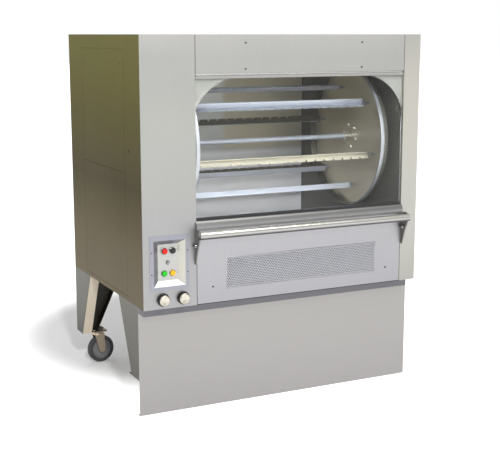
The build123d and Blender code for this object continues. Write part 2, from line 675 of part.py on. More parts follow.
def handle_tube():
    """Polished bar right across the door, closed at both ends."""
    centre = (FRONT + HANDLE_DEPTH, HANDLE_Z)
    with BuildPart() as tube:
        with BuildSketch(Plane.YZ.offset(HANDLE_LEFT)):
            with Locations(centre):
                Circle(HANDLE_RADIUS)
        extrude(amount=HANDLE_RIGHT - HANDLE_LEFT)
        chamfer(tube.edges().filter_by(GeomType.CIRCLE), 1.5)
        with BuildSketch(Plane.YZ.offset(HANDLE_LEFT + HANDLE_WALL)):
            with Locations(centre):
                Circle(HANDLE_RADIUS - HANDLE_WALL)
        extrude(amount=HANDLE_RIGHT - HANDLE_LEFT - 2 * HANDLE_WALL, mode=Mode.SUBTRACT)
    save(tube, "handle_tube")


def handle_brackets():
    """Fin-shaped plates that join the bar to the ends of the bottom rail."""
    tip_radius = 5
    back = FRONT + BRACKET_BACK_DEPTH
    with BuildPart() as brackets:
        for x in BRACKETS_X:
            with BuildSketch(Plane.YZ.offset(x - BRACKET_THICKNESS / 2)):
                with BuildLine():
                    Line((back, BRACKET_TIP + tip_radius), (back, HANDLE_Z - 4))
                    ThreePointArc((back, HANDLE_Z - 4), (back - 29, BRACKET_TOP),
                                  (FRONT + HANDLE_DEPTH, HANDLE_Z))
                    Spline((FRONT + HANDLE_DEPTH, HANDLE_Z), (back - 40, 830),
                           (back - 2 * tip_radius, BRACKET_TIP + tip_radius),
                           tangents=[(0, -1), (0.35, -1)])
                    ThreePointArc((back - 2 * tip_radius, BRACKET_TIP + tip_radius),
                                  (back - tip_radius, BRACKET_TIP), (back, BRACKET_TIP + tip_radius))
                make_face()
                with Locations((FRONT + HANDLE_DEPTH, HANDLE_Z)):
                    Circle(HANDLE_RADIUS + 0.05, mode=Mode.SUBTRACT)
                with Locations((FRONT + BOLT_DEPTH, BOLT_Z)):
                    Circle(5, mode=Mode.SUBTRACT)
            extrude(amount=BRACKET_THICKNESS)
    save(brackets, "handle_brackets")


def handle_bolts():
    """Bolt through each bracket with a ball-like dome on either face."""
    centre = (FRONT + BOLT_DEPTH, BOLT_Z)
    with BuildPart() as bolts:
        for x in BRACKETS_X:
            with BuildSketch(Plane.YZ.offset(x)):
                with Locations(centre):
                    Circle(4.9)
            extrude(amount=BRACKET_THICKNESS / 2, both=True)
            for side in (-1, 1):
                face = x + side * BRACKET_THICKNESS / 2
                with BuildSketch(Plane.YZ.offset(face)):
                    with Locations(centre):
                        Circle(BOLT_RADIUS)
                extrude(amount=side * BOLT_DOME)
                tip = bolts.edges().filter_by_position(Axis.X, face + side * BOLT_DOME - 0.1,
                                                       face + side * BOLT_DOME + 0.1)
                fillet(tip, BOLT_DOME - 1)
    save(bolts, "handle_bolts")


def control_bezel():
    """Pressed control panel: flat rim, sloping dish, and a collar round each device."""
    rim = front_plane(-SHEET)
    with BuildPart() as bezel:
        with BuildSketch(rim):
            slab(BEZEL_LEFT, BEZEL_RIGHT, BEZEL_BOTTOM, BEZEL_TOP)
        extrude(amount=-SHEET)
        with BuildSketch(front_plane(0)):
            slab(DISH_LEFT, DISH_RIGHT, DISH_BOTTOM, DISH_TOP)
        with BuildSketch(front_plane(DISH_DEPTH)):
            slab(DISH_FLOOR_LEFT - SHEET, DISH_FLOOR_RIGHT + SHEET, DISH_FLOOR_BOTTOM - SHEET,
                 DISH_FLOOR_TOP + SHEET)
        loft()
        with BuildSketch(rim):
            slab(DISH_LEFT + SHEET, DISH_RIGHT - SHEET, DISH_BOTTOM + SHEET, DISH_TOP - SHEET)
        with BuildSketch(front_plane(DISH_DEPTH - SHEET)):
            slab(DISH_FLOOR_LEFT, DISH_FLOOR_RIGHT, DISH_FLOOR_BOTTOM, DISH_FLOOR_TOP)
        loft(mode=Mode.SUBTRACT)
        with BuildSketch(front_plane(DISH_DEPTH - SHEET)):
            with Locations((DEVICE_LEFT_X, BUTTON_Z), (DEVICE_RIGHT_X, BUTTON_Z)):
                Circle(COLLAR_RADIUS)
                Circle(BUTTON_RADIUS + 0.8, mode=Mode.SUBTRACT)
        extrude(amount=6)
        with BuildSketch(front_plane(DISH_DEPTH - SHEET)):
            with Locations((DEVICE_LEFT_X, BUTTON_Z), (DEVICE_RIGHT_X, BUTTON_Z),
                           (DEVICE_LEFT_X, LAMP_Z), (DEVICE_RIGHT_X, LAMP_Z)):
                Circle(STEM_RADIUS + 0.5)
            with Locations((SELECTOR_X, SELECTOR_Z)):
                Circle(STEM_RADIUS / 2 + 0.5)
        extrude(amount=-SHEET, mode=Mode.SUBTRACT)
    save(bezel, "control_bezel")


def push_button(label, x):
    """Push button: domed cap on a stem through the dish floor."""
    floor = DISH_DEPTH - SHEET
    with BuildPart() as button:
        with BuildSketch(front_plane(floor - 6)):
            with Locations((x, BUTTON_Z)):
                Circle(BUTTON_RADIUS)
        extrude(amount=10)
        fillet(button.faces().sort_by(Axis.Y)[0].edges(), 2.5)
        with BuildSketch(front_plane(floor - 6)):
            with Locations((x, BUTTON_Z)):
                Circle(STEM_RADIUS)
        extrude(amount=-26)
    save(button, label)


def lamp(label, x):
    """Signal lamp: domed lens on a threaded barrel."""
    floor = DISH_DEPTH - SHEET
    with BuildPart() as lens:
        with BuildSketch(front_plane(floor)):
            with Locations((x, LAMP_Z)):
                Circle(BUTTON_RADIUS)
        extrude(amount=12)
        fillet(lens.faces().sort_by(Axis.Y)[0].edges(), 4)
        with BuildSketch(front_plane(floor)):
            with Locations((x, LAMP_Z)):
                Circle(STEM_RADIUS)
        extrude(amount=-22)
    save(lens, label)


def selector_switch():
    """Small toggle of the burner switch, between the buttons and the lamps."""
    floor = DISH_DEPTH - SHEET
    with BuildPart() as toggle:
        with BuildSketch(front_plane(floor + 16)):
            with Locations((SELECTOR_X, SELECTOR_Z)):
                Circle(STEM_RADIUS / 2)
        extrude(amount=16.3)
        with BuildSketch(front_plane(floor - RUNNING_GAP)):
            with Locations((SELECTOR_X, SELECTOR_Z)):
                Circle(7)
        extrude(amount=5)
        with BuildSketch(front_plane(floor - 5)):
            with Locations((SELECTOR_X, SELECTOR_Z)):
                SlotOverall(13, 4.5, rotation=90)
        extrude(amount=9)
    save(toggle, "selector_switch")


def knob(label, x):
    """Round control knob: spindle, broad skirt and a narrower body in front of it."""
    with BuildPart() as dial:
        with BuildSketch(Plane.XY.offset(KNOB_Z)):
            with BuildLine():
                Polyline((x, FRONT + 22), (x + SPINDLE_RADIUS, FRONT + 22), (x + SPINDLE_RADIUS, FRONT - 1),
                         (x + KNOB_SKIRT_RADIUS, FRONT - 1), (x + KNOB_SKIRT_RADIUS, FRONT - 7),
                         (x + KNOB_SKIRT_RADIUS - 2, FRONT - 9), (x + KNOB_RADIUS, FRONT - 9),
                         (x + KNOB_RADIUS, FRONT + 3 - KNOB_REACH),
                         (x + KNOB_RADIUS - 3, FRONT - KNOB_REACH), (x, FRONT - KNOB_REACH), close=True)
            make_face()
        revolve(axis=Axis((x, FRONT, KNOB_Z), (0, 1, 0)))
    save(dial, label)


def screws():
    """Pan heads of the panel screws, all alike."""
    with BuildPart() as heads:
        front = [(x, z) for x in HEADER_SCREWS_X for z in HEADER_SCREWS_Z]
        front += [(x, ACCESS_SCREWS_Z) for x in ACCESS_SCREWS_X]
        with BuildSketch(front_plane(0)):
            with Locations(*front):
                Circle(SCREW_RADIUS)
        extrude(amount=SCREW_HEAD, taper=20)
        with BuildSketch(front_plane(-SHEET)):
            with Locations(*[(x, z) for x in BEZEL_SCREWS_X for z in BEZEL_SCREWS_Z]):
                Circle(SCREW_RADIUS * 0.7)
        extrude(amount=SCREW_HEAD, taper=20)
        for side in (-1, 1):
            with BuildSketch(Plane.YZ.offset(side * WIDTH / 2)):
                with Locations(*[(FRONT + depth, z) for depth, z in COVER_SCREWS]):
                    Circle(SCREW_RADIUS)
            extrude(amount=side * SCREW_HEAD, taper=20)
    save(heads, "panel_screws")


def rotor_disc(label, outer_face, inward):
    """Dished disc, its hemmed rim towards the spits, with a hub, bolt heads and spit holes."""
    plate = outer_face + inward * DISC_PLATE
    hem = outer_face + inward * (RIM_WIDTH - HEM_WIDTH)
    edge = outer_face + inward * RIM_WIDTH
    band = DISC_RADIUS - 1
    with BuildPart() as disc:
        with BuildSketch(Plane.XY.offset(ROTOR_Z)):
            with BuildLine():
                Polyline((outer_face, ROTOR_Y), (outer_face, ROTOR_Y + band), (hem, ROTOR_Y + band),
                         (hem, ROTOR_Y + DISC_RADIUS), (edge, ROTOR_Y + DISC_RADIUS),
                         (edge, ROTOR_Y + DISC_RADIUS - HEM_THICKNESS),
                         (hem, ROTOR_Y + DISC_RADIUS - HEM_THICKNESS), (hem, ROTOR_Y + band - RIM_THICKNESS),
                         (plate, ROTOR_Y + band - RIM_THICKNESS), (plate, ROTOR_Y), close=True)
            make_face()
        revolve(axis=Axis((0, ROTOR_Y, ROTOR_Z), (1, 0, 0)))
        lip = disc.edges().filter_by(GeomType.CIRCLE).group_by(Axis.X)[-1 if inward > 0 else 0]
        fillet(lip, 2)
        with BuildSketch(Plane.YZ.offset(plate)):
            with Locations((ROTOR_Y, ROTOR_Z)):
                Circle(HUB_RADIUS)
        extrude(amount=inward * HUB_LENGTH)
        with BuildSketch(Plane.YZ.offset(plate)):
            with Locations((ROTOR_Y, ROTOR_Z)):
                with PolarLocations(HUB_BOLT_CIRCLE, HUB_BOLTS, start_angle=15):
                    RegularPolygon(8, 6)
        extrude(amount=inward * 6)
        with BuildSketch(Plane.YZ.offset(outer_face)):
            with Locations((ROTOR_Y, ROTOR_Z)):
                Circle(SHAFT_RADIUS + 0.02)
        extrude(amount=inward * (DISC_PLATE + HUB_LENGTH), mode=Mode.SUBTRACT)
        with BuildSketch(Plane.YZ.offset(outer_face)):
            with Locations((ROTOR_Y, ROTOR_Z)):
                with PolarLocations(SPIT_PITCH_RADIUS, SPIT_COUNT, start_angle=SPIT_START):
                    Circle(SPIT_PIN_RADIUS + 0.2)
        extrude(amount=inward * DISC_PLATE, mode=Mode.SUBTRACT)
    save(disc, label)


def rotor_shaft():
    """Shaft from the gear motor to the far bearing."""
    with BuildPart() as shaft:
        with BuildSketch(Plane.YZ.offset(SHAFT_LEFT)):
            with Locations((ROTOR_Y, ROTOR_Z)):
                Circle(SHAFT_RADIUS)
        extrude(amount=SHAFT_RIGHT - SHAFT_LEFT)
        chamfer(shaft.edges().filter_by(GeomType.CIRCLE), 1.5)
    save(shaft, "rotor_shaft")


def rotor_spits():
    """Angle bars that open outwards, both edges notched, each ending in a cap, neck, nut and pin."""
    bar_left = DISC_LEFT + SPIT_END_GAP
    bar_right = DISC_RIGHT - SPIT_END_GAP
    notches = int((bar_right - bar_left) / SPIT_NOTCH)
    cap, neck, nut = 3, 14, 7
    angle = math.radians(SPIT_START)
    out = Vector(0, math.cos(angle), math.sin(angle))
    centre = Vector(0, ROTOR_Y, ROTOR_Z) + out * SPIT_PITCH_RADIUS
    with BuildPart() as spit:
        for turn in (45, -45):
            leg_angle = angle + math.radians(turn)
            along = Vector(0, math.cos(leg_angle), math.sin(leg_angle))
            with BuildSketch(Plane(origin=centre - out * SPIT_APEX, x_dir=(1, 0, 0),
                                   z_dir=Vector(1, 0, 0).cross(along))):
                slab(bar_left, bar_right, -SPIT_SHEET / 2, SPIT_LEG)
                with Locations(((bar_left + bar_right) / 2, SPIT_LEG)):
                    with GridLocations(SPIT_NOTCH, 1, notches, 1):
                        Rectangle(SPIT_TOOTH, 2 * SPIT_TOOTH, mode=Mode.SUBTRACT)
            extrude(amount=SPIT_SHEET / 2, both=True)
        for x, outward in ((bar_left, -1), (bar_right, 1)):
            start = Plane(origin=(x, centre.Y, centre.Z), x_dir=(0, 1, 0), z_dir=(outward, 0, 0))
            with BuildSketch(start):
                Circle(15)
            extrude(amount=cap)
            with BuildSketch(start.offset(cap)):
                Circle(13)
            extrude(amount=neck, taper=22)
            with BuildSketch(start.offset(cap + neck)):
                RegularPolygon(11, 6)
            extrude(amount=nut)
            with BuildSketch(start):
                Circle(SPIT_PIN_RADIUS)
            extrude(amount=SPIT_END_GAP + SPIT_PIN_OVERHANG)
    shaft_axis = Axis((0, ROTOR_Y, ROTOR_Z), (1, 0, 0))
    with BuildPart() as spits:
        add([spit.part.rotate(shaft_axis, index * 360 / SPIT_COUNT) for index in range(SPIT_COUNT)])
    save(spits, "rotor_spits")


def shaft_bearings():
    """Flanged bearing on each cavity wall."""
    with BuildPart() as bearings:
        for wall, outward in ((CAVITY_LEFT - SHEET, -1), (CAVITY_RIGHT + SHEET, 1)):
            for radius, reach in ((48, 10), (28, 26)):
                with BuildSketch(Plane.YZ.offset(wall)):
                    with Locations((ROTOR_Y, ROTOR_Z)):
                        Circle(radius)
                        Circle(SHAFT_RADIUS + 0.05, mode=Mode.SUBTRACT)
                extrude(amount=outward * reach)
    save(bearings, "shaft_bearings")


def drive_motor():
    """Gear motor with a hollow output that holds the shaft's end, on a plate to the cavity wall."""
    box_left, box_right = SHAFT_LEFT - 15, SHAFT_LEFT + 55
    with BuildPart() as motor:
        with BuildSketch(Plane.YZ.offset(box_left)):
            with Locations((ROTOR_Y, ROTOR_Z)):
                RectangleRounded(130, 170, 14)
        extrude(amount=box_right - box_left)
        with BuildSketch(Plane.XZ.offset(-(ROTOR_Y + 60))):
            with Locations(((box_left + box_right) / 2, ROTOR_Z - 40)):
                Circle(34)
        extrude(amount=-150)
        with BuildSketch(Plane.YZ.offset(box_left)):
            with Locations((ROTOR_Y, ROTOR_Z)):
                Circle(SHAFT_RADIUS + 0.05)
        extrude(amount=box_right - box_left, mode=Mode.SUBTRACT)
        with BuildSketch(Plane.YZ.offset(box_right)):
            slab(ROTOR_Y - 65, ROTOR_Y + 65, ROTOR_Z - 110, ROTOR_Z - 60)
        extrude(amount=CAVITY_LEFT - SHEET - box_right)
    save(motor, "drive_motor")


def burner_tubes():
    """Three tube burners low down at the rear of the cavity, carried on two cross straps."""
    tube_radius = 15
    depths = (780, 870, 960)
    height = CAVITY_FLOOR + 40
    left, right = CAVITY_LEFT + 60, CAVITY_RIGHT - 60
    with BuildPart() as burners:
        for depth in depths:
            with BuildSketch(Plane.YZ.offset(left)):
                with Locations((FRONT + depth, height)):
                    Circle(tube_radius)
            extrude(amount=right - left)
        for x in (left + 60, right - 90):
            with BuildSketch(Plane.YZ.offset(x)):
                slab(FRONT + depths[0] - 25, FRONT + depths[-1] + 25, CAVITY_FLOOR, height)
            extrude(amount=30)
    save(burners, "burner_tubes")


def drip_tray():
    """Grease tray on the cavity floor under the spits."""
    left, right = CAVITY_LEFT + 40, CAVITY_RIGHT - 40
    front, back = FRONT + 60, FRONT + 730
    rise = 35
    wall = 2
    with BuildPart() as tray:
        with BuildSketch(Plane.XY.offset(CAVITY_FLOOR)):
            slab(left, right, front, back)
        extrude(amount=rise)
        with BuildSketch(Plane.XY.offset(CAVITY_FLOOR + wall)):
            slab(left + wall, right - wall, front + wall, back - wall)
        extrude(amount=rise, mode=Mode.SUBTRACT)
    save(tray, "drip_tray")


def gas_inlet():
    """Gas pipe end with a female socket, hanging through the floor pan."""
    drop = 40
    with BuildPart() as inlet:
        with BuildSketch(Plane.XY.offset(BODY_BOTTOM - drop)):
            with Locations((GAS_X, GAS_Y)):
                RegularPolygon(GAS_BORE_RADIUS + 7, 6)
        extrude(amount=drop)
        with BuildSketch(Plane.XY.offset(BODY_BOTTOM)):
            with Locations((GAS_X, GAS_Y)):
                Circle(GAS_BORE_RADIUS + 3)
        extrude(amount=90)
        with BuildSketch(Plane.XY.offset(BODY_BOTTOM - drop)):
            with Locations((GAS_X, GAS_Y)):
                Circle(GAS_BORE_RADIUS)
        extrude(amount=20, mode=Mode.SUBTRACT)
    save(inlet, "gas_inlet")


def cord_gland():
    """Cable gland in the floor pan."""
    with BuildPart() as gland:
        with BuildSketch(Plane.XY.offset(BODY_BOTTOM - 8)):
            with Locations((GLAND_X, GLAND_Y)):
                RegularPolygon(15, 6)
        extrude(amount=8)
        with BuildSketch(Plane.XY.offset(BODY_BOTTOM - 8)):
            with Locations((GLAND_X, GLAND_Y)):
                Circle(12)
        extrude(amount=-16, taper=12)
        with BuildSketch(Plane.XY.offset(BODY_BOTTOM)):
            with Locations((GLAND_X, GLAND_Y)):
                Circle(11.5)
        extrude(amount=14)
        with BuildSketch(Plane.XY.offset(BODY_BOTTOM - 24)):
            with Locations((GLAND_X, GLAND_Y)):
                Circle(5)
        extrude(amount=38, mode=Mode.SUBTRACT)
    save(gland, "cord_gland")


os.makedirs("parts", exist_ok=True)

side_panel("side_panel_left", -1)
side_panel("side_panel_right", 1)
side_covers("side_covers_left", -1)
side_covers("side_covers_right", 1)
top_panel()
back_panel()
floor_frame()
control_stile()
right_stile()
header_panel()
mouth_frame()
cavity_liner()
access_panel()
vent_grille()
front_rail()
apron()
for end_name, end in (("front", -1), ("rear", 1)):
    for side_name, side in (("left", -1), ("right", 1)):
        leg(f"leg_{end_name}_{side_name}", side, end)
caster_plates()
for corner, (x, y, angle) in CASTERS.items():
    caster_fork(f"caster_fork_{corner}", x, y, angle)
    caster_wheel(f"caster_wheel_{corner}", x, y, angle)
    caster_tyre(f"caster_tyre_{corner}", x, y, angle)
hinge()
door_top_rail()
door_glass()
door_gasket()
door_bottom_rail()
handle_tube()
handle_brackets()
handle_bolts()
control_bezel()
push_button("red_button", DEVICE_LEFT_X)
push_button("black_button", DEVICE_RIGHT_X)
lamp("green_lamp", DEVICE_LEFT_X)
lamp("amber_lamp", DEVICE_RIGHT_X)
selector_switch()
knob("knob_left", KNOBS_X[0])
knob("knob_right", KNOBS_X[1])
screws()
rotor_disc("rotor_disc_left", DISC_LEFT, 1)
rotor_disc("rotor_disc_right", DISC_RIGHT, -1)
rotor_shaft()
rotor_spits()
shaft_bearings()
drive_motor()
burner_tubes()
drip_tray()
gas_inlet()
cord_gland()
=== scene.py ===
import bmesh
import bpy
import math
from mathutils import Matrix, Vector


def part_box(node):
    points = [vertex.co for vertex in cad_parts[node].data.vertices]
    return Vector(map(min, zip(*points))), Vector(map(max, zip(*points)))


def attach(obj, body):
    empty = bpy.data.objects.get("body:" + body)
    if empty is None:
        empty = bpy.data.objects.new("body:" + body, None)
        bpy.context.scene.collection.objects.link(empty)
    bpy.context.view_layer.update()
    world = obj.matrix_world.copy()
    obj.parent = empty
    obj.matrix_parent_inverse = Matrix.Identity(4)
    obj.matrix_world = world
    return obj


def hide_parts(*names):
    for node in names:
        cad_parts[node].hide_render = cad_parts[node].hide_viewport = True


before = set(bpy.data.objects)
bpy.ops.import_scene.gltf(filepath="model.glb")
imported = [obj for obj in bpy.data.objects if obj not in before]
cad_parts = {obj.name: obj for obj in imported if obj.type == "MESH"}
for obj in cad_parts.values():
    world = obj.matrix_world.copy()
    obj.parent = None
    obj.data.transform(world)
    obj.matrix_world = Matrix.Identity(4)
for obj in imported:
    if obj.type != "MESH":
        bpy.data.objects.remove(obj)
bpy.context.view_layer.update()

# Cabinet measures in metres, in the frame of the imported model
LEFT = -0.75
RIGHT = 0.75
FRONT = -0.4955
BACK = 0.5745
HEIGHT = 1.8
ROTOR_Y = FRONT + 0.460
ROTOR_Z = 1.258
DISC_RIM = 0.3706
RIGHT_STILE_X = 0.655
RIGHT_WALL_X = 0.652
GRILLE = (LEFT + 0.420, LEFT + 1.255, 0.608, 0.760)
DISH_FLOOR = FRONT + 0.024
DEVICES_X = (LEFT + 0.1135, LEFT + 0.1545)
BUTTON_Z = 0.812
LAMP_Z = 0.705
SELECTOR = (LEFT + 0.132, DISH_FLOOR, 0.756)
KNOBS_X = {"left": LEFT + 0.096, "right": LEFT + 0.196}
KNOB_Z = 0.587
KNOB_FACE = FRONT - 0.028
HEADER_SCREWS = [(LEFT + across, FRONT, z) for across in (0.5234, 1.156) for z in (1.762, 1.642)]
LOWER_SCREWS = [(LEFT + across, FRONT, 0.623) for across in (0.351, 1.319)]
BEZEL_SCREWS = [(LEFT + across, FRONT - 0.002, z) for across in (0.0415, 0.2215) for z in (0.812, 0.7095)]
COVER_SCREWS = ((0.268, 1.665), (0.818, 1.665), (0.277, 1.227), (0.805, 1.227))
SEAMS_X = (LEFT + 0.267, RIGHT - 0.093)
SEAM_HEIGHTS = ((1.626, HEIGHT - 0.003), (0.5475, 0.874))
LATCH = (LEFT, FRONT + 0.164, 1.268)
WHEEL_RADIUS = 0.075
CASTER_TRAIL = 0.016
CASTERS = {
    "front_left": (LEFT + 0.098, FRONT + 0.176, 94),
    "front_right": (RIGHT - 0.098, FRONT + 0.176, 84),
    "rear_left": (LEFT + 0.098, FRONT + 1.012, 7.6),
    "rear_right": (RIGHT - 0.098, FRONT + 1.012, 172),
}
FOOT_TOP = 0.187
FOOT_BOLT_SHIFTS = (-0.030, 0.030)

# Spit measures: V bars with one edge notched, on a circle round the rotor's axis
SPITS = 6
SPIT_MIDDLE_X = LEFT + 0.833
SPIT_LENGTH = 1.0
SPIT_CIRCLE = 0.268
FIRST_SPIT = 75.5
SPIT_LEAN = 20
FOLD_BEHIND_PIN = 0.012
LEG_WIDTH = 0.031
NOTCH_FOOT = 0.022
NOTCH_WIDTH = 0.009
NOTCH_PITCH = 0.053
NOTCHES = 18


# Colour and node helpers

def tone(red, green, blue):
    """Colour as it should look on screen, from 0 to 255, made linear."""
    def linear(value):
        value /= 255
        return value / 12.92 if value <= 0.04045 else ((value + 0.055) / 1.055) ** 2.4
    return (linear(red), linear(green), linear(blue), 1.0)


def add_node(tree, kind, **settings):
    """Place one node and set its own settings and its numbered or named inputs."""
    node = tree.nodes.new(kind)
    inputs = settings.pop("inputs", {})
    for name, value in settings.items():
        setattr(node, name, value)
    for key, value in inputs.items():
        node.inputs[key].default_value = value
    return node


def new_group(name, inputs, outputs):
    """Empty shader node group with its sockets; gives the group and its two end nodes."""
    group = bpy.data.node_groups.new(name, "ShaderNodeTree")
    for label, kind, value in inputs:
        socket = group.interface.new_socket(label, in_out="INPUT", socket_type="NodeSocket" + kind)
        socket.default_value = value
    for label, kind in outputs:
        group.interface.new_socket(label, in_out="OUTPUT", socket_type="NodeSocket" + kind)
    return group, group.nodes.new("NodeGroupInput"), group.nodes.new("NodeGroupOutput")


def finish_group():
    """Fine lines along one direction and the broad patches of a handled surface, over any tone."""
    group, start, end = new_group(
        "Surface finish",
        [("Place", "Vector", (0, 0, 0)), ("Stretch", "Vector", (300, 300, 4)), ("Patch size", "Float", 0.4),
         ("Tone", "Color", (0.5, 0.5, 0.5, 1)), ("Line depth", "Float", 0.1), ("Patch depth", "Float", 0.05),
         ("Roughness", "Float", 0.4), ("Relief", "Float", 0.02)],
        [("Tone", "Color"), ("Roughness", "Float"), ("Normal", "Vector")])
    link = group.links.new
    stretched = add_node(group, "ShaderNodeVectorMath", operation="MULTIPLY")
    link(start.outputs["Place"], stretched.inputs[0])
    link(start.outputs["Stretch"], stretched.inputs[1])
    lines = add_node(group, "ShaderNodeTexNoise", inputs={"Scale": 1.0, "Detail": 3.0, "Roughness": 0.65})
    link(stretched.outputs[0], lines.inputs["Vector"])
    inverse = add_node(group, "ShaderNodeMath", operation="DIVIDE", inputs={0: 1.0})
    link(start.outputs["Patch size"], inverse.inputs[1])
    patches = add_node(group, "ShaderNodeTexNoise", inputs={"Detail": 2.0, "Roughness": 0.5})
    link(start.outputs["Place"], patches.inputs["Vector"])
    link(inverse.outputs[0], patches.inputs["Scale"])
    shades = []
    for noise, depth in ((lines, "Line depth"), (patches, "Patch depth")):
        centred = add_node(group, "ShaderNodeMath", operation="SUBTRACT", inputs={1: 0.5})
        link(noise.outputs["Fac"], centred.inputs[0])
        shade = add_node(group, "ShaderNodeMath", operation="MULTIPLY_ADD", inputs={2: 1.0})
        link(centred.outputs[0], shade.inputs[0])
        link(start.outputs[depth], shade.inputs[1])
        shades.append(shade)
    both = add_node(group, "ShaderNodeMath", operation="MULTIPLY")
    link(shades[0].outputs[0], both.inputs[0])
    link(shades[1].outputs[0], both.inputs[1])
    shaded = add_node(group, "ShaderNodeVectorMath", operation="SCALE")
    link(start.outputs["Tone"], shaded.inputs[0])
    link(both.outputs[0], shaded.inputs["Scale"])
    link(shaded.outputs[0], end.inputs["Tone"])
    uneven = add_node(group, "ShaderNodeMapRange", inputs={"To Min": -0.05, "To Max": 0.05})
    link(patches.outputs["Fac"], uneven.inputs["Value"])
    sheen = add_node(group, "ShaderNodeMath", operation="ADD")
    link(start.outputs["Roughness"], sheen.inputs[0])
    link(uneven.outputs[0], sheen.inputs[1])
    kept = add_node(group, "ShaderNodeMath", operation="MAXIMUM", inputs={1: 0.02})
    link(sheen.outputs[0], kept.inputs[0])
    link(kept.outputs[0], end.inputs["Roughness"])
    bump = add_node(group, "ShaderNodeBump", inputs={"Distance": 0.001})
    link(start.outputs["Relief"], bump.inputs["Strength"])
    link(lines.outputs["Fac"], bump.inputs["Height"])
    link(bump.outputs[0], end.inputs["Normal"])
    return group


FINISH = finish_group()


class Measures:
    """Places and directions on a piece that its finish can follow, made only when asked for."""

    def __init__(self, tree):
        self.tree = tree
        self.coordinates = tree.nodes.new("ShaderNodeTexCoord")
        self.made = {}

    def split(self, output):
        """The x, y and z of a vector of the piece."""
        if output not in self.made:
            parts = self.tree.nodes.new("ShaderNodeSeparateXYZ")
            self.tree.links.new(self.coordinates.outputs[output], parts.inputs[0])
            self.made[output] = parts
        return self.made[output].outputs

    def rotor_radius(self):
        """Distance from the rotor's axis."""
        if "radius" not in self.made:
            offset = add_node(self.tree, "ShaderNodeVectorMath", operation="SUBTRACT",
                              inputs={1: (0, ROTOR_Y, ROTOR_Z)})
            self.tree.links.new(self.coordinates.outputs["Object"], offset.inputs[0])
            across = add_node(self.tree, "ShaderNodeVectorMath", operation="MULTIPLY", inputs={1: (0, 1, 1)})
            self.tree.links.new(offset.outputs[0], across.inputs[0])
            length = add_node(self.tree, "ShaderNodeVectorMath", operation="LENGTH")
            self.tree.links.new(across.outputs[0], length.inputs[0])
            self.made["radius"] = length
        return self.made["radius"].outputs["Value"]

    def get(self, name):
        """Socket for x, y, z, radius, facing_x, facing_y or facing_z."""
        if name == "radius":
            return self.rotor_radius()
        if name.startswith("facing_"):
            return self.split("Normal")[name[-1].upper()]
        return self.split("Object")[name.upper()]

    def band(self, name, low, high, fade):
        """1 where a measure is between two values, 0 elsewhere, with soft ends."""
        tree = self.tree
        masks = []
        for edge, first, last in ((low, 0.0, 1.0), (high, 1.0, 0.0)):
            if edge is None:
                continue
            ramp = add_node(tree, "ShaderNodeMapRange", inputs={
                "From Min": edge - fade, "From Max": edge + fade, "To Min": first, "To Max": last})
            tree.links.new(self.get(name), ramp.inputs["Value"])
            masks.append(ramp.outputs[0])
        return self.product(masks)

    def product(self, masks):
        """All of several masks together."""
        total = masks[0]
        for mask in masks[1:]:
            step = add_node(self.tree, "ShaderNodeMath", operation="MULTIPLY")
            self.tree.links.new(total, step.inputs[0])
            self.tree.links.new(mask, step.inputs[1])
            total = step.outputs[0]
        return total

    def tones_by_height(self, steps):
        """Tone that runs smoothly through the given heights."""
        foot, head = steps[0][0], steps[-1][0]
        place = add_node(self.tree, "ShaderNodeMapRange", inputs={"From Min": foot, "From Max": head})
        self.tree.links.new(self.get("z"), place.inputs["Value"])
        ramp = self.tree.nodes.new("ShaderNodeValToRGB")
        self.tree.links.new(place.outputs[0], ramp.inputs[0])
        stops = ramp.color_ramp.elements
        while len(stops) < len(steps):
            stops.new(0.5)
        for stop, (height, colour) in zip(stops, steps):
            stop.position = (height - foot) / (head - foot)
            stop.color = colour
        return ramp.outputs[0]


def mixed(tree, mask, before, after, kind="RGBA"):
    """Blend a tone or a number over what was there before, by a mask."""
    mix = add_node(tree, "ShaderNodeMix", data_type=kind)
    slots = [socket for socket in mix.inputs if socket.enabled]
    tree.links.new(mask, slots[0])
    for socket, value in ((slots[1], before), (slots[2], after)):
        if isinstance(value, bpy.types.NodeSocket):
            tree.links.new(value, socket)
        else:
            socket.default_value = value
    return [socket for socket in mix.outputs if socket.enabled][0]


def surface(name, tones, stretch=(260, 260, 3), roughness=0.42, metallic=0.85, line_depth=0.1,
            patch_depth=0.08, patch_size=0.35, relief=0.02, tint=None, zones=()):
    """Metal, paint, plastic or rubber with fine lines, patches and relief.

    tones is one tone, or steps of height and tone. A zone is (bands, tone, metallic, roughness),
    and a band is (measure, low, high, fade).
    """
    material = bpy.data.materials.new(name)
    material.use_nodes = True
    tree = material.node_tree
    link = tree.links.new
    shader = tree.nodes["Principled BSDF"]
    measures = Measures(tree)
    finish = add_node(tree, "ShaderNodeGroup", node_tree=FINISH, inputs={
        "Stretch": stretch, "Patch size": patch_size, "Line depth": line_depth,
        "Patch depth": patch_depth, "Relief": relief})
    link(measures.coordinates.outputs["Object"], finish.inputs["Place"])
    colour = tones if isinstance(tones[0], float) else measures.tones_by_height(tones)
    metal, gloss = metallic, roughness
    for bands, zone_tone, zone_metal, zone_gloss in zones:
        mask = measures.product([measures.band(*band) for band in bands])
        colour = mixed(tree, mask, colour, zone_tone)
        if zone_metal != metallic:
            metal = mixed(tree, mask, metal, zone_metal, "FLOAT")
        if zone_gloss != roughness:
            gloss = mixed(tree, mask, gloss, zone_gloss, "FLOAT")
    for value, socket in ((colour, finish.inputs["Tone"]), (gloss, finish.inputs["Roughness"]),
                          (metal, shader.inputs["Metallic"])):
        if isinstance(value, bpy.types.NodeSocket):
            link(value, socket)
        else:
            socket.default_value = value
    link(finish.outputs["Tone"], shader.inputs["Base Color"])
    link(finish.outputs["Roughness"], shader.inputs["Roughness"])
    link(finish.outputs["Normal"], shader.inputs["Normal"])
    if tint:
        shader.inputs["Specular Tint"].default_value = tint
    return material


